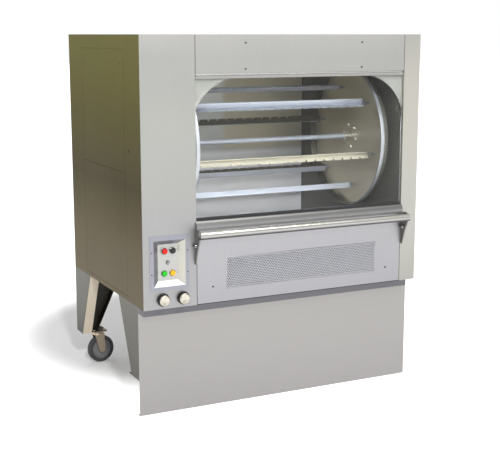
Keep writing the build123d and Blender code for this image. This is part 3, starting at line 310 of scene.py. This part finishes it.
def moulded(name, colour, roughness=0.35, speckle=0.06, grain=900.0, relief=0.05, zones=()):
    """Moulded plastic, rubber or enamel: one colour with a fine grain and handling marks."""
    return surface(name, colour, stretch=(grain, grain, grain), roughness=roughness, metallic=0.0,
                   line_depth=speckle, patch_depth=speckle * 1.5, patch_size=0.05, relief=relief,
                   zones=zones)


def pane_glass():
    """Clear toughened glass that lets the lamps' light through."""
    material = surface("door glass", tone(250, 252, 251), stretch=(6, 6, 6), roughness=0.0, metallic=0.0,
                       line_depth=0.0, patch_depth=0.03, patch_size=0.25, relief=0.0)
    tree = material.node_tree
    link = tree.links.new
    shader = tree.nodes["Principled BSDF"]
    shader.inputs["Transmission Weight"].default_value = 1.0
    shader.inputs["IOR"].default_value = 1.22
    clear = add_node(tree, "ShaderNodeBsdfTransparent", inputs={"Color": (0.95, 0.96, 0.96, 1)})
    path = tree.nodes.new("ShaderNodeLightPath")
    mix = tree.nodes.new("ShaderNodeMixShader")
    link(path.outputs["Is Shadow Ray"], mix.inputs[0])
    link(shader.outputs[0], mix.inputs[1])
    link(clear.outputs[0], mix.inputs[2])
    link(mix.outputs[0], tree.nodes["Material Output"].inputs["Surface"])
    return material


# Finishes of the CAD pieces

ON_RIGHT_STILE = ("x", RIGHT_STILE_X, None, 0.001)
front_steel = surface("front steel", (
    (0.54, tone(146, 145, 146)), (0.90, tone(149, 149, 150)), (1.10, tone(155, 155, 152)),
    (1.45, tone(162, 163, 158)), (1.70, tone(165, 165, 162)), (1.80, tone(174, 173, 169))), zones=(
        ((ON_RIGHT_STILE,), tone(168, 167, 161), 0.85, 0.42),
        ((ON_RIGHT_STILE, ("z", 1.15, 1.72, 0.2)), tone(180, 178, 170), 0.85, 0.42),
        ((ON_RIGHT_STILE, ("z", None, 0.70, 0.15)), tone(150, 149, 144), 0.85, 0.42)))
# The dark band from 0.932 to 0.945 m along the top of the bottom rail is painted shade of the gap under the
# glass, and the rail darkens towards its lower edge as painted shade of its rolled underside.
rail_steel = surface("door rail steel", (
    (0.876, tone(150, 149, 152)), (0.915, tone(160, 159, 160)), (0.932, tone(112, 112, 110)),
    (0.945, tone(112, 112, 110)), (1.60, tone(160, 159, 156))), stretch=(4, 260, 260), roughness=0.4)
lower_steel = surface("lower panel steel", (
    (0.56, tone(147, 146, 149)), (0.875, tone(161, 160, 163))))
# The dish's upward-facing slopes are toned near white and its left-facing slopes cream: painted highlights of
# light from above and from the front-left.
bezel_steel = surface("bezel steel", tone(139, 140, 147), zones=(
    ((("facing_z", 0.3, None, 0.05),), tone(198, 198, 198), 0.85, 0.42),
    ((("facing_x", None, -0.3, 0.05),), tone(186, 185, 176), 0.85, 0.42),
    ((("facing_y", None, -0.95, 0.02), ("y", DISH_FLOOR - 0.002, None, 0.0005)),
     tone(167, 167, 164), 0.85, 0.42)))
plate_steel = surface("mouth plate steel", tone(144, 143, 139), metallic=0.6, roughness=0.5)
# On the left side the olive and brown bands by height are a painted reflection of dark surroundings, helped
# by the olive specular tint; the right side (x above 0) is plain grey.
side_steel = surface("side steel", (
    (0.54, tone(98, 90, 84)), (0.80, tone(92, 84, 76)), (1.10, tone(60, 53, 36)),
    (1.45, tone(88, 84, 46)), (1.80, tone(122, 119, 78))),
    stretch=(260, 90, 1.5), roughness=0.38, metallic=0.7, line_depth=0.16, tint=(0.45, 0.43, 0.3, 1),
    zones=(((("x", 0.0, None, 0.1),), tone(138, 137, 133), 0.8, 0.42),))
back_steel = surface("back steel", tone(168, 168, 166), roughness=0.5)
top_steel = surface("top steel", tone(178, 178, 176), stretch=(3, 260, 260), roughness=0.5)
# The liner's step from near white to grey at about 1.14 m is a painted shadow edge under the mouth's top; the
# khaki upper part of the back wall towards the right is a painted reflection, and the near-black right wall
# is painted shade.
liner_steel = surface("liner steel", (
    (0.69, tone(244, 243, 248)), (1.125, tone(244, 243, 248)), (1.155, tone(190, 190, 190)),
    (1.69, tone(244, 244, 240))),
    stretch=(5, 5, 60), roughness=0.42, metallic=0.35, patch_size=0.2, patch_depth=0.12, relief=0.0,
    zones=(
        ((("x", 0.14, None, 0.02), ("z", 1.15, None, 0.02)), tone(200, 193, 174), 0.35, 0.42),
        ((("x", RIGHT_WALL_X, None, 0.0005),), tone(78, 77, 72), 0.35, 0.5)))
tray_steel = surface("tray steel", tone(168, 166, 160), stretch=(5, 60, 60), roughness=0.5, patch_size=0.2)
# The tube's near-black underside is a painted reflection and its light top band a painted highlight, both
# toned by height.
tube_steel = surface("handle tube steel", (
    (0.864, tone(48, 46, 46)), (0.873, tone(74, 72, 72)), (0.880, tone(150, 149, 147)),
    (0.892, tone(196, 195, 188)), (0.904, tone(172, 171, 164))),
    stretch=(3, 120, 120), roughness=0.28, metallic=0.85, line_depth=0.04, relief=0.0)
apron_steel = surface("apron steel", ((0.0, tone(139, 137, 136)), (0.50, tone(148, 146, 144))),
                      stretch=(3, 260, 260))
dark_paint = surface("dark rail paint", tone(90, 89, 94), stretch=(5, 80, 80), roughness=0.5, metallic=0.2)
# Leg plates darken towards the foot. The slanted flanges facing front and down are cream, a painted
# reflection of the bright floor, and the faces of the left legs that turn inwards (+x) are near-black,
# painted shade.
leg_steel = surface("leg steel", (
    (0.18, tone(60, 58, 50)), (0.35, tone(84, 82, 72)), (0.55, tone(96, 95, 86))),
    stretch=(120, 120, 4), roughness=0.5, metallic=0.6, zones=(
        ((("facing_z", -0.85, -0.15, 0.05),), tone(232, 220, 198), 0.3, 0.5),
        ((("facing_x", 0.6, None, 0.1), ("x", None, 0.0, 0.1)), tone(62, 62, 66), 0.6, 0.5)))
zinc_steel = surface("zinc plate", tone(188, 174, 152), stretch=(70, 70, 70), roughness=0.38,
                     patch_depth=0.2, patch_size=0.03)
ON_DISC_RIM = ("radius", DISC_RIM, None, 0.0002)
# The dark ring just inside the rim's radius is painted shade along the rim.
disc_steel = surface(
    "disc steel", tone(180, 173, 155), stretch=(40, 40, 40), roughness=0.3, metallic=0.7,
    patch_size=0.1, patch_depth=0.15, line_depth=0.06, zones=(
        ((("radius", None, 0.070, 0.001), ("x", -0.4583, 0.6243, 0.0003)), tone(196, 196, 192), 0.9, 0.3),
        ((("radius", DISC_RIM - 0.0051, None, 0.0006),), tone(88, 87, 80), 0.7, 0.4),
        ((ON_DISC_RIM,), tone(104, 103, 94), 0.7, 0.4),
        ((ON_DISC_RIM, ("x", -0.44, 0.606, 0.001)), tone(170, 172, 177), 0.5, 0.4)))
# The front lower spits are cream, a painted highlight, and upward faces at the back are dark brown, painted
# shade; both are set in the bars' own coordinates and turn with the rotor.
bar_steel = surface(
    "spit steel", tone(178, 182, 194), stretch=(4, 200, 200), roughness=0.42, metallic=0.55,
    relief=0.001, zones=(
        ((("y", None, -0.2, 0.02), ("z", None, 1.25, 0.02)), tone(196, 190, 172), 0.45, 0.45),
        ((("y", 0.10, None, 0.01), ("facing_z", -0.1, None, 0.05)), tone(84, 80, 70), 0.7, 0.4)))
end_steel = surface("spit end steel", tone(150, 152, 158), stretch=(120, 120, 120), roughness=0.3,
                    metallic=0.9)
bolt_steel = surface("bolt steel", tone(120, 120, 120), stretch=(300, 300, 300), roughness=0.16, metallic=1.0)
screw_steel = surface("screw steel", tone(74, 73, 76), stretch=(300, 300, 300), roughness=0.4)
bracket_steel = surface("bracket steel", tone(120, 119, 116), roughness=0.4)
grille_steel = surface("grille steel", tone(184, 185, 190), roughness=0.45)
motor_paint = moulded("motor paint", tone(88, 92, 96), roughness=0.5, relief=0.1)
cast_iron = surface("burner iron", tone(84, 80, 76), stretch=(90, 90, 90), roughness=0.7,
                    metallic=0.4, line_depth=0.3, relief=0.15)
brass = surface("brass fitting", tone(190, 160, 92), stretch=(150, 150, 150), roughness=0.35)
tyre_rubber = moulded("tyre rubber", tone(66, 66, 68), roughness=0.65, speckle=0.2, relief=0.1)
wheel_grey = moulded("wheel centre", tone(128, 127, 128), roughness=0.5)
seal_rubber = moulded("door seal", tone(40, 40, 42), roughness=0.7, relief=0.1)
red_plastic = moulded("red button", tone(205, 0, 0), roughness=0.6)
black_plastic = moulded("black plastic", tone(16, 16, 18), roughness=0.55)
green_lens = moulded("green lens", tone(0, 178, 0), roughness=0.5)
amber_lens = moulded("amber lens", tone(250, 172, 0), roughness=0.5)
grey_plastic = moulded("grey plastic", tone(120, 120, 122), roughness=0.5)
knob_finish = moulded("knob plastic and cap", tone(26, 25, 26), roughness=0.3, zones=(
    ((("y", None, FRONT - 0.0235, 0.0005),), tone(190, 185, 172), 0.7, 0.38),))
# A grey darker than the front: painted shade seen in the seams.
seam_steel = surface("seam steel", tone(120, 119, 116), roughness=0.5)
# Near-black; on the plate behind the grille it is painted shade seen through the holes.
dark_slot = moulded("dark recess", tone(22, 22, 24), roughness=0.7)
glass = pane_glass()

FINISHES = {
    "side_panel_left": side_steel, "side_panel_right": side_steel,
    "side_covers_left": side_steel, "side_covers_right": side_steel,
    "top_panel": top_steel, "back_panel": back_steel, "floor_frame": back_steel,
    "control_stile": front_steel, "right_stile": front_steel, "header_panel": front_steel,
    "mouth_frame": plate_steel, "cavity_liner": liner_steel,
    "burner_access_panel": lower_steel, "vent_grille": lower_steel,
    "front_rail": dark_paint, "apron": apron_steel,
    "leg_front_left": leg_steel, "leg_front_right": leg_steel,
    "leg_rear_left": leg_steel, "leg_rear_right": leg_steel, "caster_plates": zinc_steel,
    "door_hinge": front_steel, "door_top_rail": rail_steel, "door_glass": glass,
    "door_gasket": seal_rubber, "door_bottom_rail": rail_steel, "handle_tube": tube_steel,
    "handle_brackets": bracket_steel, "handle_bolts": bolt_steel, "control_bezel": bezel_steel,
    "red_button": red_plastic, "black_button": black_plastic, "green_lamp": green_lens,
    "amber_lamp": amber_lens, "selector_switch": end_steel,
    "knob_left": knob_finish, "knob_right": knob_finish, "panel_screws": screw_steel,
    "rotor_disc_left": disc_steel, "rotor_disc_right": disc_steel, "rotor_shaft": bar_steel,
    "rotor_spits": bar_steel, "shaft_bearings": cast_iron, "drive_motor": motor_paint,
    "burner_tubes": cast_iron, "drip_tray": tray_steel, "gas_inlet": brass, "cord_gland": grey_plastic,
}
for corner in CASTERS:
    FINISHES["caster_fork_" + corner] = zinc_steel
    FINISHES["caster_wheel_" + corner] = wheel_grey
    FINISHES["caster_tyre_" + corner] = tyre_rubber

for name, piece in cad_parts.items():
    piece.data.materials.clear()
    piece.data.materials.append(FINISHES[name])


# Shape helpers for the added pieces

def piece_from(shape, name, material, body):
    """Make a shape into a piece of the scene that moves with a body of the model."""
    bmesh.ops.recalc_face_normals(shape, faces=shape.faces)
    for edge in shape.edges:
        edge.smooth = edge.calc_face_angle(0.0) < 0.6
    for face in shape.faces:
        face.smooth = True
    mesh = bpy.data.meshes.new(name)
    shape.to_mesh(mesh)
    shape.free()
    mesh.materials.append(material)
    piece = bpy.data.objects.new(name, mesh)
    bpy.context.scene.collection.objects.link(piece)
    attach(piece, body)
    return piece


def facing(place, outward, up=(0, 0, 1)):
    """Placement whose third axis looks outward from a place."""
    third = Vector(outward).normalized()
    side = Vector(up) if abs(third.dot(Vector(up))) < 0.9 else Vector((0, 1, 0))
    first = side.cross(third).normalized()
    turn = Matrix((first, third.cross(first), third)).transposed().to_4x4()
    return Matrix.Translation(place) @ turn


def forward(x, y, z):
    """Placement that looks to the front of the oven."""
    return facing((x, y, z), (0, -1, 0))


def flat_sheet(width, height, x_segments=1, y_segments=1):
    """Flat rectangle round its own middle."""
    part = bmesh.new()
    bmesh.ops.create_grid(part, x_segments=x_segments, y_segments=y_segments, size=0.5)
    bmesh.ops.scale(part, vec=(width, height, 1), verts=part.verts)
    return part


def thickened(piece, thickness, offset=-1):
    """Give a thin sheet its thickness."""
    sheet = piece.modifiers.new("sheet", "SOLIDIFY")
    sheet.thickness = thickness
    sheet.offset = offset
    return sheet


def merged(shape, part, placement):
    """Put a finished part into a shape at a placement."""
    bmesh.ops.transform(part, matrix=placement, verts=part.verts)
    carrier = bpy.data.meshes.new("carrier")
    part.to_mesh(carrier)
    part.free()
    shape.from_mesh(carrier)
    bpy.data.meshes.remove(carrier)


def turned(shape, profile, placement, steps=24):
    """Turn a profile of (radius, height) full round and put it into a shape."""
    part = bmesh.new()
    corners = [part.verts.new((radius, 0, height)) for radius, height in profile]
    edges = [part.edges.new(pair) for pair in zip(corners, corners[1:])]
    bmesh.ops.spin(part, geom=corners + edges, axis=(0, 0, 1), cent=(0, 0, 0),
                   angle=math.tau, steps=steps, use_merge=True)
    bmesh.ops.remove_doubles(part, verts=part.verts, dist=1e-6)
    merged(shape, part, placement)


def hexagon(shape, across, thickness, placement):
    """Hexagon nut or bolt head with a softened top edge."""
    part = bmesh.new()
    made = bmesh.ops.create_circle(part, cap_ends=True, segments=6, radius=across / math.sqrt(3))
    face = made["verts"][0].link_faces[0]
    raised = bmesh.ops.extrude_face_region(part, geom=[face])["geom"]
    top = [item for item in raised if isinstance(item, bmesh.types.BMVert)]
    bmesh.ops.translate(part, vec=(0, 0, thickness), verts=top)
    cap = next(item for item in raised if isinstance(item, bmesh.types.BMFace))
    bmesh.ops.inset_region(part, faces=[cap], thickness=across * 0.08, depth=0.0)
    bmesh.ops.translate(part, vec=(0, 0, thickness * 0.12), verts=cap.verts)
    merged(shape, part, placement)


# Added detail

def hole_cell(pitch, hole):
    """Hexagon of sheet, point up, with a round hole in its middle."""
    part = bmesh.new()
    made = bmesh.ops.create_circle(part, cap_ends=True, segments=6, radius=pitch / math.sqrt(3))
    cell = made["verts"][0].link_faces[0]
    bmesh.ops.subdivide_edges(part, edges=part.edges[:], cuts=1)
    bmesh.ops.inset_region(part, faces=[cell], thickness=pitch * 0.2, use_boundary=True)
    for vert in cell.verts:
        vert.co = vert.co.normalized() * hole
    bmesh.ops.delete(part, geom=[cell], context="FACES_ONLY")
    bmesh.ops.rotate(part, cent=(0, 0, 0), matrix=Matrix.Rotation(math.radians(30), 3, "Z"),
                     verts=part.verts)
    return part


def perforated_grille():
    """Punched sheet with staggered round holes that fills the grille's opening."""
    pitch = 0.0095
    hole = 0.0030
    inset = 0.001
    row = pitch * math.sqrt(3)
    left, right, bottom, top = GRILLE
    width, height = right - left - 2 * inset, top - bottom - 2 * inset
    columns, rows = int(width / pitch), int(height / row)
    wide, high = width / columns, height / rows
    first_x = (left + right) / 2 - wide * (columns - 0.5) / 2
    first_z = (bottom + top) / 2 - high * (rows - 0.5) / 2
    shape = bmesh.new()
    for shift_x, shift_z in ((0, 0), (wide / 2, high / 2)):
        part = hole_cell(pitch, hole)
        bmesh.ops.scale(part, vec=(wide / pitch, high / row, 1), verts=part.verts)
        merged(shape, part, forward(first_x + shift_x, FRONT + 0.0002, first_z + shift_z))
    field = piece_from(shape, "air_grille_holes", grille_steel, "cabinet")
    for count, offset in ((columns, (wide, 0, 0)), (rows, (0, 0, high))):
        array = field.modifiers.new("row", "ARRAY")
        array.use_relative_offset = False
        array.use_constant_offset = True
        array.constant_offset_displace = offset
        array.count = count
    thickened(field, 0.0015)
    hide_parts("vent_grille")


def grille_edge():
    """Flat frame that covers the edge of the punched sheet."""
    left, right, bottom, top = GRILLE
    overlap = 0.003
    part = flat_sheet(right - left + overlap, top - bottom + overlap)
    middle = part.faces[:]
    bmesh.ops.inset_region(part, faces=middle, thickness=0.0075, use_boundary=True)
    bmesh.ops.delete(part, geom=middle, context="FACES_ONLY")
    shape = bmesh.new()
    merged(shape, part, forward((left + right) / 2, FRONT - 0.0002, (bottom + top) / 2))
    thickened(piece_from(shape, "air_grille_edge", lower_steel, "cabinet"), 0.0015)


def grille_shade_plate():
    """Dark dished plate behind the punched sheet: painted shade seen through the holes."""
    left, right, bottom, top = GRILLE
    overlap = 0.02
    part = flat_sheet(right - left + overlap, top - bottom + overlap)
    bmesh.ops.inset_region(part, faces=part.faces[:], thickness=0.012, depth=-0.014, use_boundary=True)
    shape = bmesh.new()
    merged(shape, part, forward((left + right) / 2, FRONT + 0.006, (bottom + top) / 2))
    thickened(piece_from(shape, "grille_shade_plate", dark_slot, "cabinet"), 0.0015)


def screw_heads():
    """Domed pan heads with a recess at every panel screw, smaller ones on the control panel."""
    head = ((0.0, 0.0005), (0.0015, 0.0005), (0.0019, 0.0013), (0.0032, 0.0012), (0.0046, 0.0007),
            (0.0050, 0.0001), (0.0050, -0.0002))
    small = tuple((radius * 0.7, height) for radius, height in head)
    shape = bmesh.new()
    for place in HEADER_SCREWS + LOWER_SCREWS:
        turned(shape, head, forward(*place), 16)
    for place in BEZEL_SCREWS:
        turned(shape, small, forward(*place), 16)
    for side in (-1, 1):
        for depth, z in COVER_SCREWS:
            turned(shape, head, facing((side * RIGHT, FRONT + depth, z), (side, 0, 0)), 16)
    heads = piece_from(shape, "pan_heads", screw_steel, "cabinet")
    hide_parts("panel_screws")


def device_rings():
    """Bright clamp rings round the push buttons and the signal lamps, and the switch's nut."""
    ring = ((0.0132, -0.0002), (0.0132, 0.0016), (0.0142, 0.0022), (0.0153, 0.0016), (0.0157, -0.0002))
    shape = bmesh.new()
    for x in DEVICES_X:
        turned(shape, ring, forward(x, DISH_FLOOR - 0.006, BUTTON_Z), 32)
        turned(shape, ring, forward(x, DISH_FLOOR, LAMP_Z), 32)
    piece_from(shape, "device_rings", bolt_steel, "cabinet")
    nut = bmesh.new()
    hexagon(nut, 0.0185, 0.0030, forward(*SELECTOR))
    collar = ((0.0078, 0.0030), (0.0078, 0.0046), (0.0088, 0.0052), (0.0096, 0.0030))
    turned(nut, collar, forward(*SELECTOR), 24)
    piece_from(nut, "selector_nut", bolt_steel, "cabinet")


def knob_caps():
    """Turned metal cap with a raised rim and a pointer rib on each knob."""
    cap = ((0.0, 0.0006), (0.0125, 0.0006), (0.0135, 0.0012), (0.0190, 0.0012), (0.0202, 0.0018),
           (0.0214, 0.0012), (0.0220, -0.0002))
    for side, x in KNOBS_X.items():
        shape = bmesh.new()
        turned(shape, cap, forward(x, KNOB_FACE, KNOB_Z), 40)
        made = bmesh.ops.create_cube(shape, size=1.0)["verts"]
        bmesh.ops.scale(shape, vec=(0.0024, 0.0016, 0.0090), verts=made)
        bmesh.ops.translate(shape, vec=(x, KNOB_FACE - 0.0016, KNOB_Z + 0.0152), verts=made)
        edges = list({edge for vert in made for edge in vert.link_edges})
        bmesh.ops.bevel(shape, geom=edges, offset=0.0005, offset_type="OFFSET", segments=2, profile=0.5,
                        affect="EDGES", material=-1)
        piece_from(shape, "knob_cap_" + side, knob_finish, side + "_knob")


def caster_details():
    """Bearing covers on the wheels, and washers on the wheel bolts."""
    cover = ((0.0105, 0.0), (0.0105, 0.0016), (0.0140, 0.0024), (0.0166, 0.0012), (0.0172, -0.0004))
    washer = ((0.0062, 0.0), (0.0062, 0.0016), (0.0118, 0.0016), (0.0122, 0.0))
    cover_out, washer_out = 0.018, 0.024
    for corner, (x, y, angle) in CASTERS.items():
        along = Vector((math.cos(math.radians(angle)), math.sin(math.radians(angle)), 0))
        axle = along.cross(Vector((0, 0, 1)))
        hub = Vector((x, y, WHEEL_RADIUS)) + along * CASTER_TRAIL
        covers = bmesh.new()
        hardware = bmesh.new()
        for side in (-1, 1):
            turned(covers, cover, facing(hub + axle * side * cover_out, axle * side), 24)
            turned(hardware, washer, facing(hub + axle * side * washer_out, axle * side), 24)
        piece_from(covers, "bearing_covers_" + corner, zinc_steel, "wheel_" + corner)
        piece_from(hardware, "bolt_washers_" + corner, zinc_steel, "caster_" + corner)


def foot_bolts():
    """Hexagon bolts that hold each caster's plate to the foot plate, with their washers."""
    shape = bmesh.new()
    washer_top = 0.0012
    washer = ((0.0, -0.0002), (0.0082, -0.0002), (0.0082, washer_top), (0.0, washer_top))
    for x, y, _ in CASTERS.values():
        for shift_x in FOOT_BOLT_SHIFTS:
            for shift_y in FOOT_BOLT_SHIFTS:
                place = facing((x + shift_x, y + shift_y, FOOT_TOP), (0, 0, 1))
                turned(shape, washer, place, 16)
                hexagon(shape, 0.0130, 0.0052, place @ Matrix.Translation((0, 0, washer_top)))
    piece_from(shape, "foot_bolts", zinc_steel, "cabinet")


def tube_plugs():
    """Domed plugs in the two ends of the handle tube."""
    low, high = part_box("handle_tube")
    middle_y = (low[1] + high[1]) / 2
    middle_z = (low[2] + high[2]) / 2
    radius = (high[2] - low[2]) / 2 - 0.0022
    plug = ((0.0, 0.0), (radius * 0.6, -0.0008), (radius * 0.9, -0.0024), (radius, -0.0045), (radius, -0.012))
    shape = bmesh.new()
    turned(shape, plug, facing((low[0] + 0.001, middle_y, middle_z), (-1, 0, 0)), 32)
    turned(shape, plug, facing((high[0] - 0.001, middle_y, middle_z), (1, 0, 0)), 32)
    piece_from(shape, "handle_plugs", black_plastic, "door")


def side_latch():
    """Small dark keyhole plate near the front edge of the left side."""
    plate = ((0.0, 0.0004), (0.0040, 0.0004), (0.0046, 0.0010), (0.0066, 0.0010), (0.0072, -0.0002))
    shape = bmesh.new()
    turned(shape, plate, facing(LATCH, (-1, 0, 0)), 24)
    piece_from(shape, "side_latch", dark_slot, "cabinet")


def seam_strips():
    """Strips behind the upright seams beside the header and the lower panel, in a darker grey that is painted
    shade in the gaps.
    """
    shape = bmesh.new()
    for x in SEAMS_X:
        for low, high in SEAM_HEIGHTS:
            part = flat_sheet(0.014, high - low, 2, 8)
            merged(shape, part, forward(x, FRONT + 0.0032, (low + high) / 2))
    thickened(piece_from(shape, "seam_strips", seam_steel, "cabinet"), 0.0012)


def leg_strip(lengths):
    """Flat strip of a spit's leg, crossed at the given lengths and along the notches' foot."""
    widths = (0.0, NOTCH_FOOT, LEG_WIDTH)
    part = bmesh.new()
    bmesh.ops.create_grid(part, x_segments=len(lengths) - 1, y_segments=len(widths) - 1, size=0.5)
    for vert in part.verts:
        vert.co.x = lengths[round((vert.co.x + 0.5) * (len(lengths) - 1))]
        vert.co.y = widths[round((vert.co.y + 0.5) * (len(widths) - 1))]
    return part


def spit_leg(notched):
    """One flat of a spit, from its fold to its edge, plain or notched, as a thin sheet."""
    half_pitch, half_notch = NOTCH_PITCH / 2, NOTCH_WIDTH / 2
    cell = leg_strip((-half_pitch, -half_notch, half_notch, half_pitch))
    if notched:
        notch = [face for face in cell.faces if face.calc_center_median().y > NOTCH_FOOT
                 and abs(face.calc_center_median().x) < half_notch]
        bmesh.ops.delete(cell, geom=notch, context="FACES_ONLY")
    leg = bmesh.new()
    for index in range(NOTCHES):
        merged(leg, cell.copy(), Matrix.Translation(((index - (NOTCHES - 1) / 2) * NOTCH_PITCH, 0, 0)))
    cell.free()
    for lengths in ((-SPIT_LENGTH / 2, -NOTCHES * half_pitch), (NOTCHES * half_pitch, SPIT_LENGTH / 2)):
        merged(leg, leg_strip(lengths), Matrix.Identity(4))
    bmesh.ops.remove_doubles(leg, verts=leg.verts, dist=1e-5)
    return leg


def round_axle(degrees):
    """Direction across the rotor's axis, by its angle from the back."""
    return Vector((0, math.cos(math.radians(degrees)), math.sin(math.radians(degrees))))


def angle_spits():
    """Six angle bars with one notched edge, open outwards, with caps, necks, nuts and pins."""
    along = Vector((1, 0, 0))
    legs = {45: spit_leg(True), -45: spit_leg(False)}
    bars = bmesh.new()
    ends = bmesh.new()
    neck_top = 0.0172
    pin = ((0.0, -0.0005), (0.0150, -0.0005), (0.0150, 0.0030), (0.0130, 0.0032), (0.0074, 0.0170),
           (0.0060, neck_top), (0.0060, 0.0494), (0.0052, 0.0500), (0.0, 0.0500))
    for index in range(SPITS):
        angle = FIRST_SPIT + 360 / SPITS * index
        out = round_axle(angle)
        centre = Vector((SPIT_MIDDLE_X, ROTOR_Y, ROTOR_Z)) + out * SPIT_CIRCLE
        fold = centre - round_axle(angle + SPIT_LEAN) * FOLD_BEHIND_PIN
        for turn, leg in legs.items():
            down = round_axle(angle + SPIT_LEAN + turn)
            turned_leg = Matrix((along, down, along.cross(down))).transposed().to_4x4()
            merged(bars, leg.copy(), Matrix.Translation(fold) @ turned_leg)
        for side in (-1, 1):
            place = facing(centre + along * side * SPIT_LENGTH / 2, (side, 0, 0), out)
            turned(ends, pin, place, 24)
            hexagon(ends, 0.0190, 0.0070, place @ Matrix.Translation((0, 0, neck_top)))
    for leg in legs.values():
        leg.free()
    bmesh.ops.remove_doubles(bars, verts=bars.verts, dist=1e-5)
    sheets = piece_from(bars, "spit_bars", bar_steel, "rotor")
    thickened(sheets, 0.003, 0).use_even_offset = True
    soft = sheets.modifiers.new("edges", "BEVEL")
    soft.width = 0.0004
    soft.segments = 1
    soft.limit_method = "ANGLE"
    fittings = piece_from(ends, "spit_ends", end_steel, "rotor")
    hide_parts("rotor_spits")
    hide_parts("rotor_spits")


perforated_grille()
grille_edge()
grille_shade_plate()
seam_strips()
angle_spits()
screw_heads()
device_rings()
knob_caps()
caster_details()
foot_bolts()
tube_plugs()
side_latch()


# Studio: pale floor, soft lamps, plain world

def any_of(tree, path, names):
    """1 for rays of any of the named kinds."""
    total = path.outputs[names[0]]
    for name in names[1:]:
        step = add_node(tree, "ShaderNodeMath", operation="MAXIMUM")
        tree.links.new(total, step.inputs[0])
        tree.links.new(path.outputs[name], step.inputs[1])
        total = step.outputs[0]
    return total


def studio_floor():
    """Pale floor, plain white to the eye away from the oven, with the oven's soft shadow on it."""
    shadow_middle = (0.15, 0.9, 0.0)
    shape = bmesh.new()
    bmesh.ops.create_grid(shape, x_segments=1, y_segments=1, size=60)
    mesh = bpy.data.meshes.new("studio_floor")
    shape.to_mesh(mesh)
    shape.free()
    floor = bpy.data.objects.new("studio_floor", mesh)
    bpy.context.scene.collection.objects.link(floor)
    material = surface("studio floor", (0.86, 0.86, 0.86, 1.0), stretch=(40, 40, 40), roughness=0.9,
                       metallic=0.0, line_depth=0.01, patch_depth=0.01, patch_size=2.0, relief=0.0)
    tree = material.node_tree
    link = tree.links.new
    shader = tree.nodes["Principled BSDF"]
    shader.inputs["Specular IOR Level"].default_value = 0.0
    coordinates = tree.nodes.new("ShaderNodeTexCoord")
    away = add_node(tree, "ShaderNodeVectorMath", operation="DISTANCE", inputs={1: shadow_middle})
    link(coordinates.outputs["Object"], away.inputs[0])
    rise = add_node(tree, "ShaderNodeMapRange", interpolation_type="SMOOTHSTEP", inputs={
        "From Min": 0.92, "From Max": 1.32, "To Min": 0.1, "To Max": 1.0})
    link(away.outputs["Value"], rise.inputs["Value"])
    path = tree.nodes.new("ShaderNodeLightPath")
    seen = any_of(tree, path, ("Is Camera Ray", "Is Glossy Ray", "Is Transmission Ray"))
    lift = add_node(tree, "ShaderNodeMath", operation="MULTIPLY")
    link(seen, lift.inputs[0])
    link(rise.outputs[0], lift.inputs[1])
    shader.inputs["Emission Color"].default_value = (1, 1, 1, 1)
    link(lift.outputs[0], shader.inputs["Emission Strength"])
    mesh.materials.append(material)


def studio_world():
    """Even soft light from all round; sight finds plain white."""
    world = bpy.data.worlds.new("studio")
    world.use_nodes = True
    tree = world.node_tree
    background = tree.nodes["Background"]
    background.inputs["Color"].default_value = (1, 1, 1, 1)
    path = tree.nodes.new("ShaderNodeLightPath")
    seen = any_of(tree, path, ("Is Camera Ray", "Is Transmission Ray"))
    strength = add_node(tree, "ShaderNodeMapRange", inputs={"To Min": 0.6, "To Max": 1.0})
    tree.links.new(seen, strength.inputs["Value"])
    tree.links.new(strength.outputs[0], background.inputs["Strength"])
    bpy.context.scene.world = world


def lamp(name, kind, place, target, power, **settings):
    """One lamp at a place, turned to its target."""
    data = bpy.data.lights.new(name, kind)
    data.energy = power
    for key, value in settings.items():
        setattr(data, key, value)
    obj = bpy.data.objects.new(name, data)
    bpy.context.scene.collection.objects.link(obj)
    obj.location = place
    obj.rotation_euler = (Vector(target) - obj.location).to_track_quat("-Z", "Y").to_euler()


def studio_lamps():
    """Soft box over the front, and a lamp that reaches into the mouth."""
    lamp("soft box", "AREA", (1.3, -3.2, 5.6), (0, 0.2, 0.9), 190, shape="SQUARE", size=2.2)
    lamp("mouth lamp", "AREA", (-2.3, -7.5, 4.9), (0.05, 0.0, 1.3), 350, shape="SQUARE", size=0.5)


def photo_camera():
    """Camera at the photograph's viewing angle."""
    tilt_down, turn_right = 10.266, 26.174
    data = bpy.data.cameras.new("camera")
    data.lens = 75.617
    data.sensor_width = 36
    data.sensor_fit = "HORIZONTAL"
    camera = bpy.data.objects.new("camera", data)
    bpy.context.scene.collection.objects.link(camera)
    camera.location = (-2.38056, -4.92324, 1.80016)
    camera.rotation_euler = (math.radians(90 - tilt_down), 0, math.radians(-turn_right))
    bpy.context.scene.camera = camera


studio_floor()
studio_world()
studio_lamps()
photo_camera()
bpy.context.scene.view_settings.view_transform = "Standard"

bpy.context.view_layer.update()
